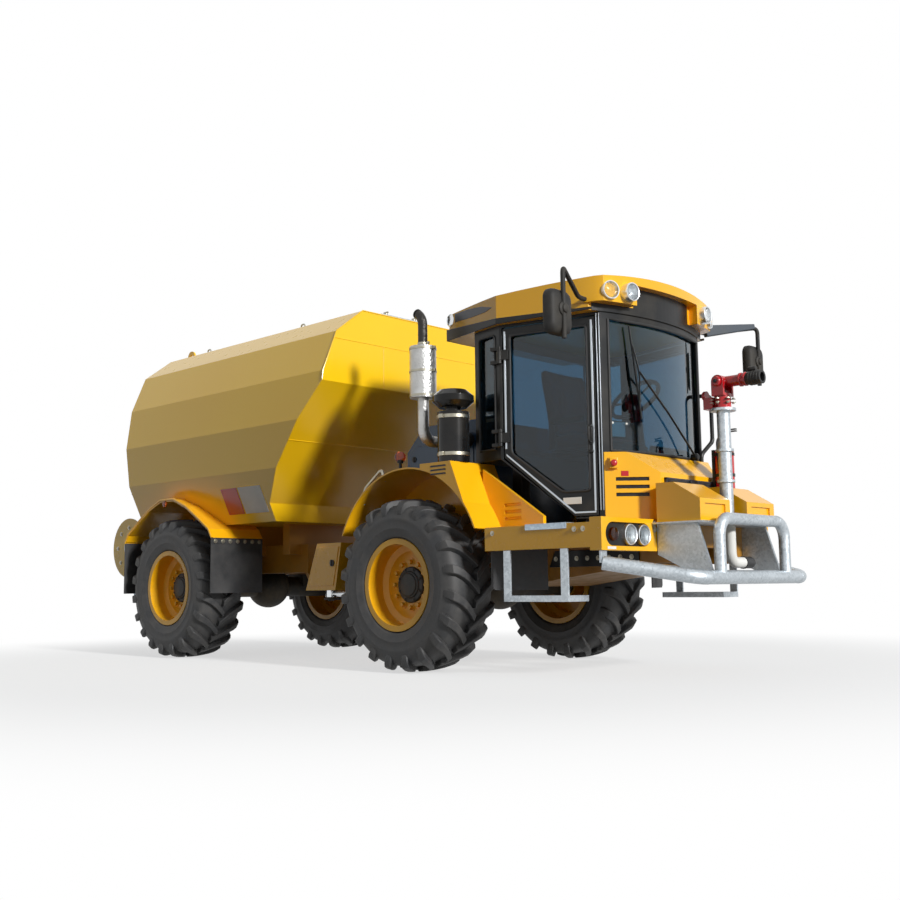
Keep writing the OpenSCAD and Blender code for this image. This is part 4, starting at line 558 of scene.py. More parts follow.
for hand in hands:
    for along in (0.742, 0.762):
        add_box(pillars, (along, 1.10, 0), (along + 0.006, 2.44, strip_t), door_face(hand))
    wall = [Vector((front_x + x, hand * (wall_y + wall_slope * (x - wall_x) + 0.002), z))
            for x, z in ((0.50, 1.57), (0.69, 1.57), (0.69, 2.39), (0.50, 2.39))]
    add_tube(quarters, wall + wall[:2], 0.008, 0.03, 8)
finish_piece("pillar_strips", pillars, trim_silver, "front", 0.001)
finish_piece("quarter_pane_seals", quarters, seal_rubber, "front")


# Windscreen gear: one long wiper on a covered pivot, a rubber seal round the bowed pane,
# and a small blank card held inside it by two suckers. The dash stands behind the pane, moulded
# in grained black.
screen_r, screen_mid = 1.8023, -0.2023


def on_screen(y, z, lift):
    """A point that stands off the front face of the bowed windscreen."""
    return Vector((front_x + screen_mid + math.sqrt(screen_r ** 2 - y ** 2) + lift, y, z))


seal, wiper, card, dash = (bmesh.new() for _ in range(4))
screen_half, screen_low, screen_high = 0.56, 1.50, 2.40
across = [screen_half * (k / 8 - 1) for k in range(17)]
loop = [on_screen(y, screen_low, 0.002) for y in across]
loop += [on_screen(y, screen_high, 0.002) for y in across[::-1]]
add_tube(seal, loop + loop[:1], 0.010, 0, 8)
finish_piece("windscreen_seal", seal, seal_rubber, "front")
pivot, elbow = on_screen(0.317, 1.512, 0.05), on_screen(-0.345, 2.05, 0.045)
turn_profile(wiper, [(0, -0.03), (0.026, -0.03), (0.026, 0.012), (0.018, 0.02), (0, 0.022)],
             lay_on(pivot, (0, 1, 0), (1, 0, 0)), 24)
add_tube(wiper, [pivot, pivot.lerp(elbow, 0.5) + Vector((0.012, 0, 0)), elbow], 0.008, 0.05, 8)
blade_low, blade_high, yoke_lift = Vector((-0.303, 1.73)), Vector((-0.395, 2.37)), Vector((0.004, 0, 0))
blade = [on_screen(*blade_low.lerp(blade_high, k / 10), 0.014) for k in range(11)]
add_tube(wiper, blade, 0.007, 0, 6)
add_tube(wiper, [blade[2] + yoke_lift, elbow, blade[8] + yoke_lift], 0.006, 0.06, 6)
finish_piece("wiper", wiper, satin_black, "front")
card_start, card_end = on_screen(-0.53, 0, -0.05), on_screen(-0.39, 0, -0.05)
card_run, card_low, card_high, sucker_inset = card_end - card_start, 1.605, 1.705, 0.012
card_face = stand_on(card_start, card_run, card_run.cross((0, 0, 1)))
add_prism(card, [(0, card_low), (card_run.length, card_low), (card_run.length, card_high), (0, card_high)],
          0, 0.002, card_face)
for along in (sucker_inset, card_run.length - sucker_inset):
    turn_profile(card, [(0, 0), (0.005, 0), (0.008, 0.036), (0, 0.036)],
                 card_face @ Matrix.Translation((along, card_high - sucker_inset, 0)), 16)
finish_piece("windscreen_card", card, blank_white, "front", 0.0005)
dash_outline = [(1.40, 1.12), (1.37, 1.50), (1.40, 1.60), (1.47, 1.57), (1.49, 1.48), (1.49, 1.12)]
for side in ((-0.50, -0.06), (0.06, 0.50)):
    add_prism(dash, dash_outline, *side, front_side)
gauge_pod = [(1.375, 1.64), (1.36, 1.72), (1.40, 1.74), (1.44, 1.66), (1.44, 1.60)]
add_prism(dash, gauge_pod, -0.42, -0.18, front_side)
# Polymer from a grained mould, so it is matt and soft in its highlights
grained_black = smooth_coat("moulded_grained_black", "#17181a", 0.55, 0.2)
finish_piece("dash", dash, grained_black, "front", 0.012)


# Seat: cloth over moulded foam, with sewn channels, on a suspension base in black plastic.
# The cushion and back are crowned and pull in between their corners.
def woven_cloth(name, warp, weft):
    """Woven seat cloth: soft and matt, with threads a couple of millimetres apart, coarsened to show."""
    material, tree, shader, place = start_material(name, Sheen_Weight=0.3, Sheen_Roughness=0.5, Roughness=0.9)
    thread_mm = 6
    weave = add_node(tree, "TexChecker", {"Vector": place, "Scale": 1000 / thread_mm, "Color1": linear(warp),
                                          "Color2": linear(weft)})
    fuzz = add_node(tree, "TexNoise", {"Vector": place, "Scale": 1000 / thread_mm, "Detail": 4})
    bump = add_node(tree, "Bump", {"Height": fuzz, "Strength": 0.4, "Distance": 0.001})
    fill(shader, {"Base Color": weave, "Normal": bump})
    return material


def crowned_pad(half, place):
    """Closed pad: flat below, crowned above, pulled in at the sides, with two sewn channels along X."""
    mesh = bmesh.new()
    crown, channels, channel_depth = 0.022, (-0.55, 0.55), 0.016
    bmesh.ops.create_cube(mesh, size=2)
    bmesh.ops.subdivide_edges(mesh, edges=mesh.edges, cuts=23, use_grid_fill=True)
    for vert in mesh.verts:
        u, v, w = vert.co
        round_off = 1 - 0.12 * (u ** 8 + v ** 8) * abs(w) ** 3
        pull = 1 - 0.035 * (1 - w * w)
        x = half[0] * u * pull * (1 - 0.04 * (1 - v * v)) * round_off
        y = half[1] * v * pull * (1 - 0.04 * (1 - u * u)) * round_off
        z = half[2] * w
        if w > 0:
            swell = crown * (1 - u ** 4) * (1 - v ** 4)
            seam = sum(math.exp(-((v - c) / 0.045) ** 2) for c in channels)
            z += w * (swell - channel_depth * seam * (1 - u ** 8))
        vert.co = place @ Vector((x, y, z))
    return mesh


seat_cloth = woven_cloth("woven_seat_cloth", "#8c4a48", "#7d3f3f")
seat_half, lean = 0.235, math.atan2(0.09, 0.51)
base = crowned_pad((0.225, seat_half, 0.05), Matrix.Translation((front_x + 0.945, 0, 1.645)))
back = crowned_pad((0.25, seat_half, 0.048), Matrix.Translation((front_x + 0.715, 0, 1.965))
                   @ Matrix.Rotation(math.radians(90) - lean, 4, "Y"))
cushion = finish_piece("seat_cushion", base, seat_cloth, "front", 0, 60)
backrest = finish_piece("seat_back", back, seat_cloth, "front", 0, 60)
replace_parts(cushion, "seat")
seat_base = bmesh.new()
add_prism(seat_base, [(0.70, 1.537), (0.72, 1.575), (1.16, 1.575), (1.10, 1.537)], -0.16, 0.16, front_side)
for level in (1.575, 1.59):
    add_box(seat_base, (0.71, -0.20, level), (1.16, 0.20, level + 0.009), from_front)
for hand in hands:
    add_box(seat_base, (0.78, hand * 0.245, 1.78), (1.06, hand * 0.29, 1.82), from_front)
    add_box(seat_base, (0.74, hand * 0.245, 1.60), (0.80, hand * 0.262, 1.80), from_front)
finish_piece("seat_base", seat_base, grained_black, "front", 0.006)


# Roof: a glass-fibre cap in the golden enamel, with a black drip rail under it, navy panels let into
# its rear sides, a round work lamp at each rear corner and an amber beacon on top.
roof_rear, roof_mid, roof_front = (0.13, 0.70), (0.76, 0.85), (1.56, 0.70)
roof_low, roof_top, visor_bulge, crest_x = 2.45, 2.72, 0.11, 1.15


def arc_radius(reach, drop):
    """Radius of an arc that drops by a height over a reach."""
    return (reach ** 2 + drop ** 2) / (2 * drop)


def roof_span(y):
    """Rear and front ends of the roof's plan at a place across it."""
    wide = max(0, (abs(y) - roof_rear[1]) / (roof_mid[1] - roof_rear[1]))
    bulge_r = arc_radius(roof_front[1], visor_bulge)
    bow = math.sqrt(bulge_r ** 2 - min(abs(y), roof_front[1]) ** 2) - bulge_r + visor_bulge
    return (roof_rear[0] + wide * (roof_mid[0] - roof_rear[0]),
            roof_front[0] - wide * (roof_front[0] - roof_mid[0]) + max(0, bow))


def roof_skin_z(x, y):
    """Height of the crowned skin: it falls gently to the rear end and to the sides."""
    along_r, across_r = arc_radius(crest_x - roof_rear[0], 0.04), arc_radius(roof_mid[1], 0.06)
    along = math.sqrt(along_r ** 2 - (x - crest_x) ** 2) - along_r
    return roof_top + along + math.sqrt(across_r ** 2 - y ** 2) - across_r


roof, header = bmesh.new(), bmesh.new()
recess_half, pod_low, brow_low, screen_gap = 0.385, 2.50, 2.64, 0.008
recess_edges = [hand * recess_half * share for hand in hands for share in (1, 1.001)]
columns = sorted([roof_mid[1] * (k / 24 - 1) for k in range(49)] + recess_edges)
grid = []
for y in columns:
    rear, front = roof_span(y)
    shelf = min(front, max(rear, on_screen(y, 0, screen_gap).x - front_x))
    stations = [(rear + (shelf - rear) * k / 20, roof_low) for k in range(21)]
    lip = brow_low if abs(y) <= recess_half else pod_low
    stations += [(shelf + (front - shelf) * k / 8, lip) for k in range(9)]
    grid.append([[roof.verts.new((front_x + x, y, z)) for z in (roof_skin_z(x, y), low)]
                 for x, low in stations])
for a, b in zip(grid, grid[1:]):
    for i in range(len(a) - 1):
        for level in (0, 1):
            roof.faces.new((a[i][level], a[i + 1][level], b[i + 1][level], b[i][level]))
    for i in (0, -1):
        roof.faces.new((a[i][0], b[i][0], b[i][1], a[i][1]))
bmesh.ops.remove_doubles(roof, verts=roof.verts, dist=0.0002)
bmesh.ops.dissolve_degenerate(roof, edges=roof.edges, dist=0.0002)
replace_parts(finish_piece("crowned_roof", roof, body_enamel, "front", 0.012, 30), "cab_roof")
strip = [roof_front[1] * 0.98 * (k / 16 - 1) for k in range(33)]
for y_a, y_b in zip(strip, strip[1:]):
    top = (brow_low if max(abs(y_a), abs(y_b)) <= recess_half else pod_low) - roof_low
    start = on_screen(y_a, roof_low, screen_gap)
    run = on_screen(y_b, roof_low, screen_gap) - start
    add_prism(header, [(0, -0.002), (run.length, -0.002), (run.length, top), (0, top)], -0.003, 0.003,
              stand_on(start, run, run.cross((0, 0, 1))))
finish_piece("visor_header", header, satin_black, "front")
# A dark, smooth enamel, and orange plastic that glows where light comes through
navy_panel = sprayed_enamel("sprayed_navy_panel", "#141c31", "#10172a", 0.05, 0.0, 0.28)
amber_lens = tinted_glass("moulded_amber_polycarbonate", "#e8641a", 0.05)
drip, panels, rear_lamps, beacon = (bmesh.new() for _ in range(4))
drip_low, drip_half, drip_rear = 2.449, 0.004, 2.535
panel_outline = [(0.115, 2.572), (0.115, 2.635), (0.30, 2.632), (0.46, 2.616), (0.60, 2.580), (0.52, 2.564),
                 (0.34, 2.562)]
# Corners of the drip rail: place ahead of the front axle, place from the middle, top edge
drip_plan = [(*roof_rear, drip_rear), (*roof_mid, 2.490), (1.49, 0.713, 2.465)]
for hand in hands:
    for (a_x, a_y, a_top), (b_x, b_y, b_top) in zip(drip_plan, drip_plan[1:]):
        run = Vector((b_x - a_x, hand * (b_y - a_y), 0))
        face = stand_on((front_x + a_x, hand * a_y, 0), run, run.cross((0, 0, 1)) * -hand)
        add_prism(drip, [(0, drip_low), (0, a_top), (run.length, b_top), (run.length, drip_low)],
                  -drip_half, drip_half, face)
        if a_top == drip_rear:
            add_prism(panels, panel_outline, -0.002, 0.003, face)
            lamp_at = face @ Matrix.Translation((0.055, 2.600, 0))
            turn_profile(rear_lamps, [(0, -0.005), (0.048, -0.005), (0.048, 0.006), (0.042, 0.010),
                                      (0.040, 0.005), (0.02, 0.001), (0, 0.001)], lamp_at, 36)
add_box(drip, (roof_rear[0] - drip_half, -roof_rear[1], drip_low),
        (roof_rear[0] + drip_half, roof_rear[1], drip_rear), from_front)
finish_piece("roof_drip_rail", drip, satin_black, "front", 0.001)
finish_piece("roof_side_panels", panels, navy_panel, "front", 0.001)
finish_piece("roof_rear_lamps", rear_lamps, chrome, "front")
turn_profile(beacon, [(0, 0), (0.045, 0), (0.045, 0.022), (0.036, 0.026), (0.036, 0.045), (0.028, 0.060),
                      (0, 0.064)], Matrix.Translation((front_x + 1.50, -0.02, 2.70)), 32)
finish_piece("roof_beacon", beacon, amber_lens, "front")


# Lamps: pressed reflectors behind clear domed lenses, each held by a plated bezel. Four stand in the
# roof's pods, and the front panels hold two headlamps and a round amber indicator in a black recess.
def add_lamp(bowls, lenses, place, r, depth):
    """Reflector bowl with bezel and bulb, and its domed lens."""
    turn_profile(bowls, [(0, 0), (r, 0), (r, depth + 0.002), (r * 0.95, depth + 0.006),
                         (r * 0.86, depth + 0.003), (r * 0.84, depth - 0.006), (r * 0.5, depth * 0.35),
                         (r * 0.18, depth * 0.22), (r * 0.18, depth * 0.5), (0, depth * 0.55)], place, 40)
    turn_profile(lenses, [(0, depth * 0.8), (r * 0.83, depth * 0.8), (r * 0.84, depth),
                          (r * 0.6, depth + 0.006), (r * 0.3, depth + 0.0085), (0, depth + 0.009)], place, 40)


# Clear plastic that shows the bowl, and aluminium misted on it: bright, but not a mirror
lamp_clear = tinted_glass("moulded_clear_polycarbonate", "#f2f5f6", 0.01)
reflector = bright_metal("vacuum_metallised_reflector", "#dfe3e6", 2, (0.25, 0.45))
bowls, lenses = bmesh.new(), bmesh.new()
# Columns: place ahead of the front axle, place from the middle, turn outwards in degrees
for x, y, turn in ((1.612, 0.470, 8), (1.548, 0.610, 22)):
    for hand in hands:
        aim = (math.cos(math.radians(turn)), hand * math.sin(math.radians(turn)), 0)
        add_lamp(bowls, lenses, lay_on((front_x + x, hand * y, 2.575), (0, 0, 1), aim), 0.0645, 0.058)
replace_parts(finish_piece("roof_lamp_bowls", bowls, reflector, "front"), "roof_lamps")
finish_piece("roof_lamp_lenses", lenses, lamp_clear, "front")
bowls, lenses, indicators, recess = (bmesh.new() for _ in range(4))
recess_x, lamp_z, liner_r = 1.744, 0.925, 0.073
liner_ends = [(y, math.radians(start + 15 * k)) for y, start in ((0.59, 90), (0.93, -90)) for k in range(13)]
liner = [(y + liner_r * math.cos(turn), liner_r * math.sin(turn)) for y, turn in liner_ends]
for hand in hands:
    for y in (0.590, 0.740):
        lamp = lay_on((front_x + recess_x, hand * y, lamp_z), (0, 0, 1), (1, 0, 0))
        add_lamp(bowls, lenses, lamp, 0.067, 0.03)
    turn_profile(indicators, [(0, 0), (0.043, 0), (0.043, 0.018), (0.040, 0.026), (0.028, 0.031), (0, 0.033)],
                 lay_on((front_x + recess_x, hand * 0.905, lamp_z), (0, 0, 1), (1, 0, 0)), 36)
    add_prism(recess, liner, 0, 0.004, lay_on((front_x + recess_x, 0, lamp_z), (0, hand, 0), (1, 0, 0)))
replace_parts(finish_piece("headlamp_bowls", bowls, reflector, "front"), "front_lamps")
finish_piece("headlamp_lenses", lenses, lamp_clear, "front")
finish_piece("front_indicators", indicators, amber_lens, "front")
finish_piece("lamp_recess_liners", recess, satin_black, "front")
dress(tinted_glass("moulded_red_polycarbonate", "#a31212", 0.05), "tail_lamps")


# Mirrors: rounded black housings on bent tubes, with a ball boss in front and silvered glass behind.
# A tapered slate-grey cover is bolted along the left arm.
def rounded_outline(half_w, half_h, corner):
    """Points of a rectangle with rounded corners."""
    points = []
    for x, y, start in ((1, 1, 0), (-1, 1, 90), (-1, -1, 180), (1, -1, 270)):
        for turn in (math.radians(start + 90 * k / 8) for k in range(9)):
            points.append((x * (half_w - corner) + corner * math.cos(turn),
                           y * (half_h - corner) + corner * math.sin(turn)))
    return points


# Silver behind glass, as bright as chrome
silvered = bright_metal("silvered_mirror_glass", "#d5d9dc", 4, (0.08, 0.2))
housings, bosses, glasses, arm_cover = (bmesh.new() for _ in range(4))
mirror_y, mirror_mid, mirror_back, arm_x, arm_z = 1.23, 2.315, front_x + 1.578, front_x + 1.66, 2.52
# Columns: depth from the glass, share of the half sizes
housing_rings = [(0.0, 0.95), (0.006, 1.0), (0.035, 1.0), (0.055, 0.96), (0.068, 0.88), (0.076, 0.74),
                 (0.079, 0.5)]
for hand in hands:
    root_x = front_x + 1.45
    add_tube(housings, [(root_x, hand * 0.725, arm_z), (root_x, hand * 0.795, arm_z),
                        (arm_x, hand * mirror_y, 2.60), (arm_x, hand * mirror_y, 2.14)], 0.016, 0.05, 16)
    face = lay_on((mirror_back, hand * mirror_y, mirror_mid), (0, 1, 0), (1, 0, 0))
    rings = []
    for depth, share in housing_rings:
        outline = rounded_outline(0.11 * share, 0.145 * share, 0.06 * share)
        rings.append([housings.verts.new(face @ Vector((x, y, depth))) for x, y in outline])
    for low, high in zip(rings, rings[1:]):
        for k in range(len(low)):
            housings.faces.new((low[k - 1], low[k], high[k], high[k - 1]))
    housings.faces.new(rings[0][::-1])
    housings.faces.new(rings[-1])
    turn_profile(bosses, [(0, -0.006), (0.045, -0.006), (0.044, 0.008), (0.03, 0.016), (0.027, 0.026),
                          (0.018, 0.031), (0, 0.032)], face @ Matrix.Translation((0, 0.015, 0.079)), 32)
    add_prism(glasses, rounded_outline(0.092, 0.127, 0.05), 0, 0.003,
              lay_on((mirror_back, hand * mirror_y, mirror_mid), (0, 1, 0), (-1, 0, 0)))
mirrors = finish_piece("mirror_housings", housings, grained_black, "front", 0, 50)
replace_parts(mirrors, "mirrors")
finish_piece("mirror_bosses", bosses, grained_black, "front")
finish_piece("mirror_glasses", glasses, silvered, "front", 0.001)
arm_start, arm_run = Vector((front_x + 1.46, 0.78, 2.535)), Vector((0.185, 0.42, 0.063))
add_prism(arm_cover, [(0, -0.045), (0, 0.045), (arm_run.length, 0.028), (arm_run.length, -0.012)],
          -0.022, 0.022, lay_on(arm_start, arm_run, (0.92, -0.4, 0)))
# Polymer coloured right through, with a soft sheen
slate_cover = smooth_coat("moulded_slate_polymer", "#3d4650", 0.45)
finish_piece("mirror_arm_cover", arm_cover, slate_cover, "front", 0.006)


# Nose: a moulded cover under the windscreen, with black inserts in its cheek slots and a slate grille
# of wires behind horizontal bars, held by a latch. An emergency stop stands on the right cheek.
cheek_start, cheek_run = Vector((1.495, 0.62, 0)), Vector((0.265, -0.26, 0))


def cheek_face(hand):
    """Face of a nose cheek: X along it towards the front, Y up and Z out."""
    along = Vector((cheek_run.x, hand * cheek_run.y, 0))
    return stand_on((front_x + cheek_start.x, hand * cheek_start.y, 0), along,
                    (-hand * along.y, hand * along.x, 0))


# A thin satin spray that dust greys between the wires
slate_grille = smooth_coat("sprayed_slate_grille", "#2c3038", 0.45, 0.3)
dress(slate_grille, "nose_grille")
inserts, wires, stop_box, stop_knob = (bmesh.new() for _ in range(4))
slot_low, slot_pitch, slot_h = 1.19, 0.052, 0.024
slot_start, slot_end = (cheek_run.length * share for share in (0.2, 0.8))
wire_half, wire_count, wire_span, rim_half, rim_w = 0.0012, 41, 0.295, 0.318, 0.012
for hand in hands:
    for low in (slot_low + slot_pitch * k for k in range(3)):
        add_box(inserts, (slot_start, low, -0.018), (slot_end, low + slot_h, -0.012), cheek_face(hand))
finish_piece("nose_slot_inserts", inserts, satin_black, "front")
for k in range(wire_count):
    y = wire_span * (2 * k / (wire_count - 1) - 1)
    add_box(wires, (1.7675, y - wire_half, 1.095), (1.7705, y + wire_half, 1.30), from_front)
for z in (1.079, 1.304):
    add_box(wires, (1.76, -rim_half, z), (1.779, rim_half, z + rim_w), from_front)
for hand in hands:
    add_box(wires, (1.76, hand * (rim_half - rim_w), 1.079), (1.779, hand * rim_half, 1.316), from_front)
add_box(wires, (1.775, -0.03, 1.285), (1.788, 0.03, 1.315), from_front)
finish_piece("grille_wires", wires, slate_grille, "front", 0.0006)
face = cheek_face(-1)
add_box(stop_box, (0.03, 1.375, 0), (0.085, 1.445, 0.034), face)
add_box(stop_box, (0.024, 1.369, 0), (0.091, 1.451, 0.008), face)
finish_piece("stop_box", stop_box, body_enamel, "front", 0.005)
turn_profile(stop_knob, [(0, 0.03), (0.012, 0.03), (0.012, 0.042), (0.022, 0.044), (0.022, 0.052),
                         (0.014, 0.058), (0, 0.059)], face @ Matrix.Translation((0.0575, 1.41, 0)), 28)
add_box(stop_knob, (0.11, 1.325, 0), (0.16, 1.36, 0.002), face)
# The glossiest enamel of all, kept clean
signal_red = sprayed_enamel("sprayed_red_enamel", "#c9151f", "#b3101a", 0.08, 0.0, 0.22)
finish_piece("stop_knob", stop_knob, signal_red, "front", 0.001)


# Water monitor: cast and machined parts in red enamel on a galvanised standpipe, with geared motors,
# flange bolts, a ribbed black nozzle and the supply elbow below the front plate.
def add_band(mesh, place, inner, outer, low, width, segments=40, ease=0.002):
    """Band round Z between two radii, with eased edges."""
    turn_profile(mesh, [(inner, low), (outer, low + ease), (outer, low + width - ease), (inner, low + width)],
                 place, segments)


# Polymer with the fine grain of its mould and a satin sheen
moulded_black = smooth_coat("moulded_black_polymer", "#191a1c", 0.4)
dress(signal_red, "monitor_turret", "monitor_barrel", "extinguisher")
dress(moulded_black, "monitor_nozzle")
caps, glands, barrel, ribs, pipe_bolts, elbow_pipe, stub = (bmesh.new() for _ in range(7))
pipe_x, lift_z = front_x + 2.04, joint_at["monitor_barrel"].z
pipe_low, pipe_high = (corner.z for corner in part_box("standpipe"))
turret_low, turret_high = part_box("monitor_turret")
for spot, aim in (((turret_low.x, 0, pipe_high + 0.041), (-1, 0, 0)),
                  ((pipe_x, turret_low.y, lift_z), (0, -1, 0)),
                  ((pipe_x, turret_high.y, lift_z), (0, 1, 0))):
    place = lay_on(spot, (0, 0, 1), aim)
    turn_profile(caps, [(0, -0.004), (0.034, -0.004), (0.034, 0.014), (0.028, 0.022), (0, 0.022)], place, 28)
    turn_profile(glands, [(0, 0.02), (0.013, 0.02), (0.013, 0.032), (0.008, 0.036), (0, 0.036)], place, 16)
finish_piece("turret_motor_caps", caps, signal_red, "monitor_turret")
finish_piece("turret_glands", glands, moulded_black, "monitor_turret")
along_barrel = lay_on((pipe_x, 0, lift_z), (0, 0, 1), (1, 0, 0))
for at in (0.135, 0.17):
    turn_profile(barrel, [(0.036, at), (0.044, at), (0.047, at + 0.004), (0.047, at + 0.016),
                          (0.044, at + 0.02), (0.036, at + 0.02)], along_barrel, 40)
finish_piece("barrel_collar", barrel, signal_red, "monitor_barrel")
for k in range(4):
    add_band(ribs, along_barrel, 0.044, 0.0495, 0.212 + 0.02 * k, 0.012)
turn_profile(ribs, [(0, 0), (0.014, 0), (0.016, 0.004), (0.016, 0.05), (0.012, 0.056), (0, 0.056)],
             lay_on((pipe_x + 0.20, 0, lift_z + 0.062), (0, 0, 1), (1, 0, 0)), 24)
add_box(ribs, (pipe_x + 0.215, -0.006, lift_z + 0.036), (pipe_x + 0.245, 0.006, lift_z + 0.055))
finish_piece("nozzle_ribs", ribs, moulded_black, "monitor_barrel")
flange_t, flange_ring = 0.018, 0.069
for level, up in ((pipe_low + flange_t, 1), (pipe_high - flange_t, -1), (pipe_high, 1)):
    flange = lay_on((pipe_x, 0, level), (1, 0, 0), (0, 0, up))
    bolt_ring(pipe_bolts, flange, 6, flange_ring, 0, 0.018, 0.012, 0.5)
finish_piece("standpipe_bolts", pipe_bolts, bright_zinc, "front")
supply_x, supply_z = pipe_x + 0.06, 0.745
add_tube(elbow_pipe, [(supply_x, -0.08, 0.995), (supply_x, -0.08, supply_z), (supply_x, 0.07, supply_z)],
         0.036, 0.07, 20)
finish_piece("supply_elbow", elbow_pipe, blank_white, "front")
turn_profile(stub, [(0, 0), (0.042, 0), (0.042, 0.02), (0.039, 0.022), (0.039, 0.1), (0.03, 0.1),
                    (0.03, 0.06), (0, 0.06)], lay_on((supply_x, 0.065, supply_z), (1, 0, 0), (0, 1, 0)), 28)
finish_piece("supply_hose_stub", stub, sheet_rubber, "front")


# Extinguisher: a spun steel bottle in red enamel, with a black valve, lever and hose, strapped to
# a bracket on the left locker.
valve = bmesh.new()
bottle_low, bottle_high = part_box("extinguisher")
bottle_r, neck = (bottle_high.x - bottle_low.x) / 2, bottle_high.z - bottle_low.z - 0.062
bottle = Vector(((bottle_low.x + bottle_high.x) / 2, (bottle_low.y + bottle_high.y) / 2, bottle_low.z))
on_bottle = Matrix.Translation(bottle)
turn_profile(valve, [(0, neck), (0.03, neck), (0.032, neck + 0.02), (0.032, neck + 0.06),
                     (0.024, neck + 0.068), (0, neck + 0.07)], on_bottle, 28)
for lift in (0.068, 0.082):
    add_box(valve, (-0.012, -0.012, neck + lift), (0.10, 0.012, neck + lift + 0.008), on_bottle)
hose_run = [(0, -0.02, neck + 0.04), (0, -bottle_r - 0.03, neck + 0.02), (0, -bottle_r - 0.012, neck - 0.2)]
add_tube(valve, [on_bottle @ Vector(p) for p in hose_run], 0.009, 0.05)
for share in (0.25, 0.7):
    add_band(valve, on_bottle, bottle_r, bottle_r + 0.004, neck * share, 0.024)
add_box(valve, (-bottle_r - 0.02, -0.03, 0), (-bottle_r + 0.002, 0.03, neck * 0.85), on_bottle)
finish_piece("extinguisher_valve", valve, moulded_black, "front", 0.001)


# Engine bay behind the cab: a navy steel hood with raised side panels and latches, the glossy black
# air cleaner with plated bands and its duct, and an amber lamp on a post.
# Navy enamel, a little dulled by the heat under it, and a bowl moulded glossy
hood_navy = sprayed_enamel("sprayed_navy_enamel", "#0f3d60", "#0c3353", 0.08, 0.05, 0.34)
dress(hood_navy, "engine_hood")
dress(smooth_coat("moulded_gloss_black", "#0e0f11", 0.16, 0.08), "air_cleaner")
hood_panels, hood_latches, bands, duct, post, side_lamp = (bmesh.new() for _ in range(6))
hood_half, panel_t, louvre_low, louvre_pitch, louvre_h, louvre_t = 0.57, 0.006, 1.22, 0.045, 0.02, 0.014
for hand in hands:
    panel = [(-0.41, 1.05), (-0.41, 1.62), (-0.33, 1.70), (0.24, 1.70), (0.27, 1.67), (0.27, 1.05)]
    side_plate(hood_panels, panel, hood_half, panel_t, hand)
    for low in (louvre_low + louvre_pitch * k for k in range(6)):
        louvre = [(-0.34, low), (-0.34, low + louvre_h), (-0.06, low + louvre_h), (-0.06, low)]
        side_plate(hood_panels, louvre, hood_half, louvre_t, hand)
    for x in (-0.36, 0.21):
        latch = side_spot(x, hood_half + panel_t, 1.60, hand)
        turn_profile(hood_latches, [(0, 0), (0.022, 0), (0.022, 0.006), (0, 0.008)], latch, 20)
        add_box(hood_latches, (-0.005, -0.02, 0.006), (0.005, 0.02, 0.014), latch)
finish_piece("hood_side_panels", hood_panels, hood_navy, "front", 0.003)
finish_piece("hood_latches", hood_latches, satin_black, "front")
cleaner, band_w = Matrix.Translation((front_x + 0.40, -0.925, 0)), 0.028
for level in (1.53, 1.80):
    add_band(bands, cleaner, 0.1148, 0.1185, level, band_w, 48)
    add_box(bands, (-0.02, -0.132, level), (0.02, -0.114, level + band_w), cleaner)
finish_piece("air_cleaner_bands", bands, bright_zinc, "front", 0.001)
duct_x, duct_z = front_x + 0.22, 1.70
duct_run = [(front_x + 0.36, -0.83, duct_z), (duct_x, -0.74, duct_z), (duct_x, -0.57, duct_z)]
add_tube(duct, duct_run, 0.055, 0.08, 24)
for k in range(5):
    ring = lay_on((duct_x, -0.60 - 0.022 * k, duct_z), (1, 0, 0), (0, -1, 0))
    add_band(duct, ring, 0.05, 0.06, 0, 0.012, 24, 0.003)
finish_piece("air_duct", duct, sheet_rubber, "front")
lamp_foot = Vector((front_x - 0.15, -0.93, 1.44))
add_tube(post, [lamp_foot, lamp_foot + Vector((0, 0, 0.10))], 0.011)
turn_profile(post, [(0, 0.09), (0.022, 0.09), (0.024, 0.1), (0.024, 0.112), (0, 0.114)],
             Matrix.Translation(lamp_foot), 24)
finish_piece("side_lamp_post", post, satin_black, "front")
turn_profile(side_lamp, [(0, -0.02), (0.04, -0.02), (0.042, 0.0), (0.042, 0.012), (0.03, 0.022), (0, 0.026)],
             lay_on(lamp_foot + Vector((0, 0, 0.135)), (0, 0, 1), (0.6, -0.8, 0)), 32)
finish_piece("side_lamp", side_lamp, amber_lens, "front")


# Exhaust: a bent steel pipe, a muffler wrapped in foil-faced cloth and a curved, open stack.
# The foil is crumpled and bright, while the stack above it has darkened in the heat.
def heated_steel_and_foil(name, foil_z):
    """Foil wrap up to a height, creased every few centimetres, and heat-dulled steel above it."""
    material, tree, shader, place = start_material(name, Metallic=0.9)
    crease_mm, scorch_mm = 26, 140
    crease = add_node(tree, "TexVoronoi", {"Vector": place, "Scale": 1000 / crease_mm},
                      feature="DISTANCE_TO_EDGE")
    scorch = add_node(tree, "TexNoise", {"Vector": place, "Scale": 1000 / scorch_mm, "Detail": 8})
    wrap = add_node(tree, "Mix", {"Factor": scorch, "A": linear("#d9dbdb"), "B": linear("#8c8984")},
                    data_type="RGBA")
    height = add_node(tree, "SeparateXYZ", {"Vector": place})
    above = add_node(tree, "Math", {0: height.outputs["Z"], 1: foil_z}, operation="GREATER_THAN")
    mixed = add_node(tree, "Mix", {"Factor": above, "A": wrap, "B": linear("#3a3836")}, data_type="RGBA")
    gloss = add_node(tree, "MapRange", {"Value": scorch, "To Min": 0.2, "To Max": 0.6})
    bump = add_node(tree, "Bump", {"Height": crease.outputs["Distance"], "Strength": 0.7, "Distance": 0.006})
    fill(shader, {"Base Color": mixed, "Roughness": gloss, "Normal": bump})
    return material


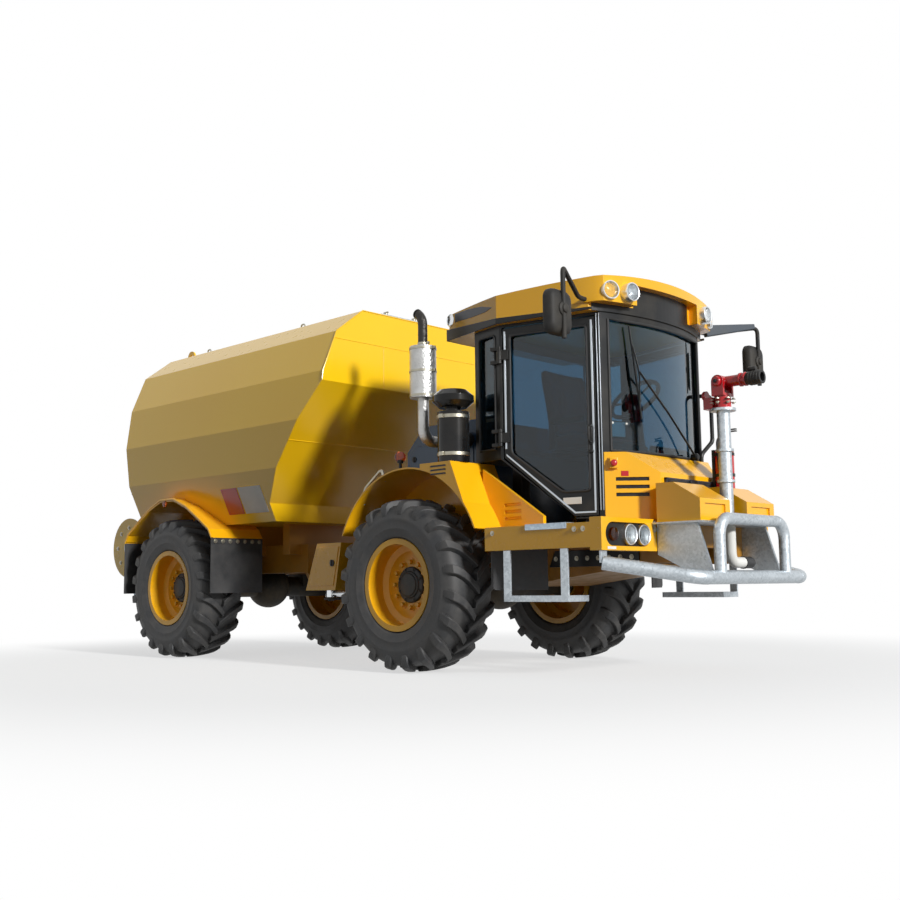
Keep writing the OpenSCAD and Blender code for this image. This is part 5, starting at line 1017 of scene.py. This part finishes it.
muffler_top, clamp_w = 2.40, 0.02
dress(heated_steel_and_foil("foil_wrap_and_heated_steel", muffler_top), "exhaust")
clamps, mouth = bmesh.new(), bmesh.new()
stack = Matrix.Translation((front_x + 0.02, -0.85, 0))
for level, radius in ((2.015, 0.1), (2.20, 0.1), (2.372, 0.1), (2.415, 0.036)):
    add_band(clamps, stack, radius - 0.002, radius + 0.004, level, clamp_w)
    add_box(clamps, (radius, -0.008, level), (radius + 0.03, 0.008, level + clamp_w), stack)
finish_piece("muffler_clamps", clamps, bright_zinc, "front", 0.001)
bend_r, bend_turn, bend_z = 0.11, math.radians(60), 2.57
tip = stack @ Vector((bend_r * (math.cos(bend_turn) - 1), 0, bend_z + bend_r * math.sin(bend_turn)))
tip_face = lay_on(tip, (0, 1, 0), (-math.sin(bend_turn), 0, math.cos(bend_turn)))
turn_profile(mouth, [(0, 0.0005), (0.031, 0.0005), (0.032, 0.006), (0.037, 0.006), (0.037, -0.012),
                     (0.0355, -0.012)], tip_face, 36)
# Soot leaves the mouth matt and black
soot = smooth_coat("sooted_steel", "#0b0b0b", 0.8, 0.05)
finish_piece("stack_mouth", mouth, soot, "front")


# Tank: folded steel plate, seam welded and sprayed in a lemon enamel. Weld beads run round the front
# face, two blank plates hang on the right side, small rings stand on top and two stubs at the back.
# Lemon enamel, glossy over broad plates, and red print on a flat plate
tank_enamel = sprayed_enamel("sprayed_lemon_enamel", "#fbcb12", "#f6c00f", 0.12, 0.1, 0.26)
blank_red = sprayed_enamel("printed_plate_red", "#c8322c", "#b92a26", 0.0, 0.0, 0.3)
dress(tank_enamel, "tank", "hose_reel")
welds, rings = bmesh.new(), bmesh.new()
tank_face, brow_z, seam_z, seam_half = 2.157, 2.24, 2.60, 0.98
slant_x, slant_z, slant_half = 1.760, 1.80, 1.128
section = [(1.111, brow_z), (1.1006, 2.319), (0.960, 2.659), (0.680, 2.870)]
brow = [(tank_face, -y, z) for y, z in section] + [(tank_face, y, z) for y, z in reversed(section)]
for line, radius in ((brow, 0.006),
                     ([(tank_face, y, seam_z) for y in (-seam_half, seam_half)], 0.004),
                     ([(tank_face, -0.45, z) for z in (brow_z, seam_z)], 0.004),
                     ([(slant_x, y, slant_z) for y in (-slant_half, slant_half)], 0.004)):
    add_tube(welds, [from_rear @ Vector(p) for p in line], radius, 0, 8)
finish_piece("tank_weld_beads", welds, tank_enamel, "rear")
ring_foot, ring_top, ring_w = 2.865, 2.92, 0.05
for x in (-0.2, 1.25):
    for y in (-0.60, 0.60):
        eye = [(x, y, ring_foot), (x, y, ring_top), (x + ring_w, y, ring_top), (x + ring_w, y, ring_foot)]
        add_tube(rings, [from_rear @ Vector(p) for p in eye], 0.007, 0.022, 10)
for z in (1.86, 2.02):
    stub_at = lay_on(from_rear @ Vector((-0.733, -1.02, z)), (0, 1, 0), (-1, 0, 0))
    turn_profile(rings, [(0, 0), (0.03, 0), (0.03, 0.01), (0.02, 0.014), (0.02, 0.05), (0.026, 0.052),
                         (0.026, 0.066), (0, 0.066)], stub_at, 24)
finish_piece("tank_rings", rings, bright_zinc, "rear")
facet_low, facet_high = Vector((0, -0.92, 1.17)), Vector((0, -1.110, 1.590))
out_of_facet = Vector((1, 0, 0)).cross(facet_high - facet_low)
facet = lay_on(from_rear @ facet_low, (1, 0, 0), out_of_facet)
plate_low, plate_high, rivet_inset = 0.09, 0.33, 0.02
for name, material, start, end in (("tank_plate_red", blank_red, 0.71, 0.94),
                                   ("tank_plate_white", blank_white, 0.96, 1.28)):
    plate = bmesh.new()
    add_box(plate, (start, plate_low, 0), (end, plate_high, 0.004), facet)
    for x in (start + rivet_inset, end - rivet_inset):
        for up in (plate_low + rivet_inset, plate_high - rivet_inset):
            turn_profile(plate, [(0, 0.003), (0.007, 0.003), (0.005, 0.007), (0, 0.007)],
                         facet @ Matrix.Translation((x, up, 0)), 12)
    finish_piece(name, plate, material, "rear", 0.001)


# Filler box: galvanised, with a folded rim, a strap handle and two wing latches on its lid.
# The handle and latches are plated, and ride on the lid.
lid_fittings = bmesh.new()
lid_low, lid_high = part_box("hatch_lid")
on_lid = Vector(((lid_low.x + lid_high.x) / 2 + 0.04, (lid_low.y + lid_high.y) / 2, lid_high.z))
handle_run = [(-0.07, -0.002), (-0.06, 0.04), (0.06, 0.04), (0.07, -0.002)]
add_tube(lid_fittings, [on_lid + Vector((0, y, z)) for y, z in handle_run], 0.007, 0.02, 10)
for y in (-0.17, 0.17):
    knob = Matrix.Translation((lid_high.x - 0.03, y, lid_high.z - 0.002))
    turn_profile(lid_fittings, [(0, 0), (0.016, 0), (0.016, 0.012), (0.01, 0.016), (0, 0.016)], knob, 20)
    add_box(lid_fittings, (-0.028, -0.005, 0.012), (0.028, 0.005, 0.026), knob)
finish_piece("lid_fittings", lid_fittings, bright_zinc, "hatch_lid", 0.001)


# Rear fenders and flaps: folded arches with a rolled edge and a marker lamp at the crown, and rubber
# flaps clamped under a rubber-faced strip by a row of plated bolts.
dress(sheet_rubber, "mudflaps")
rolled, markers, strips, strip_bolts = (bmesh.new() for _ in range(4))
arch = [(0.72, 1.05), (0.67, 1.13), (0.50, 1.235), (0.31, 1.345), (0.11, 1.42)]
arch_line = arch + [(-x, z) for x, z in reversed(arch)]
flap_x, strip_t, strip_pitch = 0.72, 0.005, 0.077
for hand in hands:
    add_tube(rolled, [from_rear @ Vector((x, hand * 1.146, z)) for x, z in arch_line], 0.011, 0, 10)
    turn_profile(markers, [(0, 0), (0.028, 0), (0.028, 0.008), (0.022, 0.014), (0, 0.016)],
                 lay_on(from_rear @ Vector((-0.03, hand * 1.15, 1.385)), (1, 0, 0), (0, hand, 0)), 24)
    for end in hands:
        outer = end * (flap_x + strip_t)
        add_box(strips, (end * flap_x, hand * 0.615, 1.0), (outer, hand * 1.145, 1.045), from_rear)
        for k in range(7):
            spot = from_rear @ Vector((outer, hand * (0.65 + strip_pitch * k), 1.022))
            add_bolt(strip_bolts, lay_on(spot, (0, 1, 0), (end, 0, 0)), 0.02, 0.012)
finish_piece("fender_rolled_edges", rolled, body_enamel, "rear")
finish_piece("fender_markers", markers, amber_lens, "rear")
finish_piece("flap_strips", strips, sheet_rubber, "rear", 0.001)
finish_piece("flap_bolts", strip_bolts, bright_zinc, "rear")


# Rear gear: a spray bar with fan heads, galvanised and weathered, and the yellow hose reel,
# with a turned hub cap and a ring of plated bolts on its outer flange.
dress(galvanised_steel("weathered_zinc", "#8b98a3", "#5f6b76"), "rear_spray")
reel_hub, reel_axis = bmesh.new(), joint_at["hose_reel"]
reel_face = lay_on((reel_axis.x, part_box("hose_reel")[0].y, reel_axis.z), (1, 0, 0), (0, -1, 0))
turn_profile(reel_hub, [(0, 0), (0.075, 0), (0.075, 0.006), (0.05, 0.01), (0.045, 0.018), (0, 0.02)],
             reel_face, 36)
bolt_ring(reel_hub, reel_face, 8, 0.2, 0, 0.022, 0.012)
finish_piece("reel_hub", reel_hub, bright_zinc, "hose_reel")


# Studio: a plain pale floor that fades to white away from the cart, an even white backdrop, a broad
# key light low at the front, a little to the right, as the sun stood, and a weak sky all round.
def seen_by_eye(tree):
    """1 for what is seen, also in a mirror or through glass, and 0 for light that is only spread."""
    ray = add_node(tree, "LightPath", {}).outputs
    seen = add_node(tree, "Math", {0: ray["Is Camera Ray"], 1: ray["Is Glossy Ray"]}, operation="MAXIMUM")
    return add_node(tree, "Math", {0: seen, 1: ray["Is Transmission Ray"]}, operation="MAXIMUM")


floor_mesh = bmesh.new()
bmesh.ops.create_grid(floor_mesh, x_segments=1, y_segments=1, size=80)
floor_data = bpy.data.meshes.new("studio_floor")
floor_mesh.to_mesh(floor_data)
floor_mesh.free()
floor = bpy.data.objects.new("studio_floor", floor_data)
bpy.context.scene.collection.objects.link(floor)
floor_paint, tree, shader, place = start_material("pale_floor_paint", Roughness=0.95)
fade_start, fade_end, near_share = 3.2, 6.5, 0.62
seen = seen_by_eye(tree)
tone = add_node(tree, "Mix", {"Factor": seen, "A": linear("#4f4c48"), "B": linear("#f3f3f1")},
                data_type="RGBA")
fill(shader, {"Base Color": tone})
away = add_node(tree, "VectorMath", {0: place}, operation="LENGTH")
fade = add_node(tree, "MapRange", {"Value": away, "From Min": fade_start, "From Max": fade_end,
                                   "To Min": near_share}, interpolation_type="SMOOTHSTEP")
far = add_node(tree, "Math", {0: fade, 1: seen}, operation="MULTIPLY")
white = add_node(tree, "Emission", {"Color": linear("#ffffff"), "Strength": 1.0})
fill(tree.nodes["Material Output"], {"Surface": add_node(tree, "MixShader", {0: far, 1: shader, 2: white})})
floor_data.materials.append(floor_paint)

world = bpy.data.worlds.new("studio")
bpy.context.scene.world = world
world.use_nodes = True
sky = world.node_tree
sky.nodes.clear()
soft = add_node(sky, "Background", {"Color": linear("#dfe8f2"), "Strength": 0.24})
backdrop = add_node(sky, "Background", {"Color": linear("#ffffff"), "Strength": 1.0})
both = add_node(sky, "MixShader", {0: seen_by_eye(sky), 1: soft, 2: backdrop})
add_node(sky, "OutputWorld", {"Surface": both})

key_data = bpy.data.lights.new("key_light", "SUN")
key_data.energy = 3.5
key_data.angle = math.radians(7)
key = bpy.data.objects.new("key_light", key_data)
bpy.context.scene.collection.objects.link(key)
key_from = Vector((0.93, -0.09, 0.35))
key.rotation_euler = (-key_from).to_track_quat("-Z", "Y").to_euler()

camera_data = bpy.data.cameras.new("photo_camera")
camera_data.sensor_width = 36
camera_data.lens = 44.54
camera = bpy.data.objects.new("photo_camera", camera_data)
bpy.context.scene.collection.objects.link(camera)
eye, heading, tilt, roll = Vector((6.8643, -6.6401, 0.6147)), 43.937, 6.948, -0.68
camera.matrix_world = (Matrix.Translation(eye) @ Matrix.Rotation(math.radians(heading), 4, "Z")
                       @ Matrix.Rotation(math.radians(90 + tilt), 4, "X")
                       @ Matrix.Rotation(math.radians(roll), 4, "Z"))
bpy.context.scene.camera = camera
bpy.context.scene.view_settings.view_transform = "Standard"
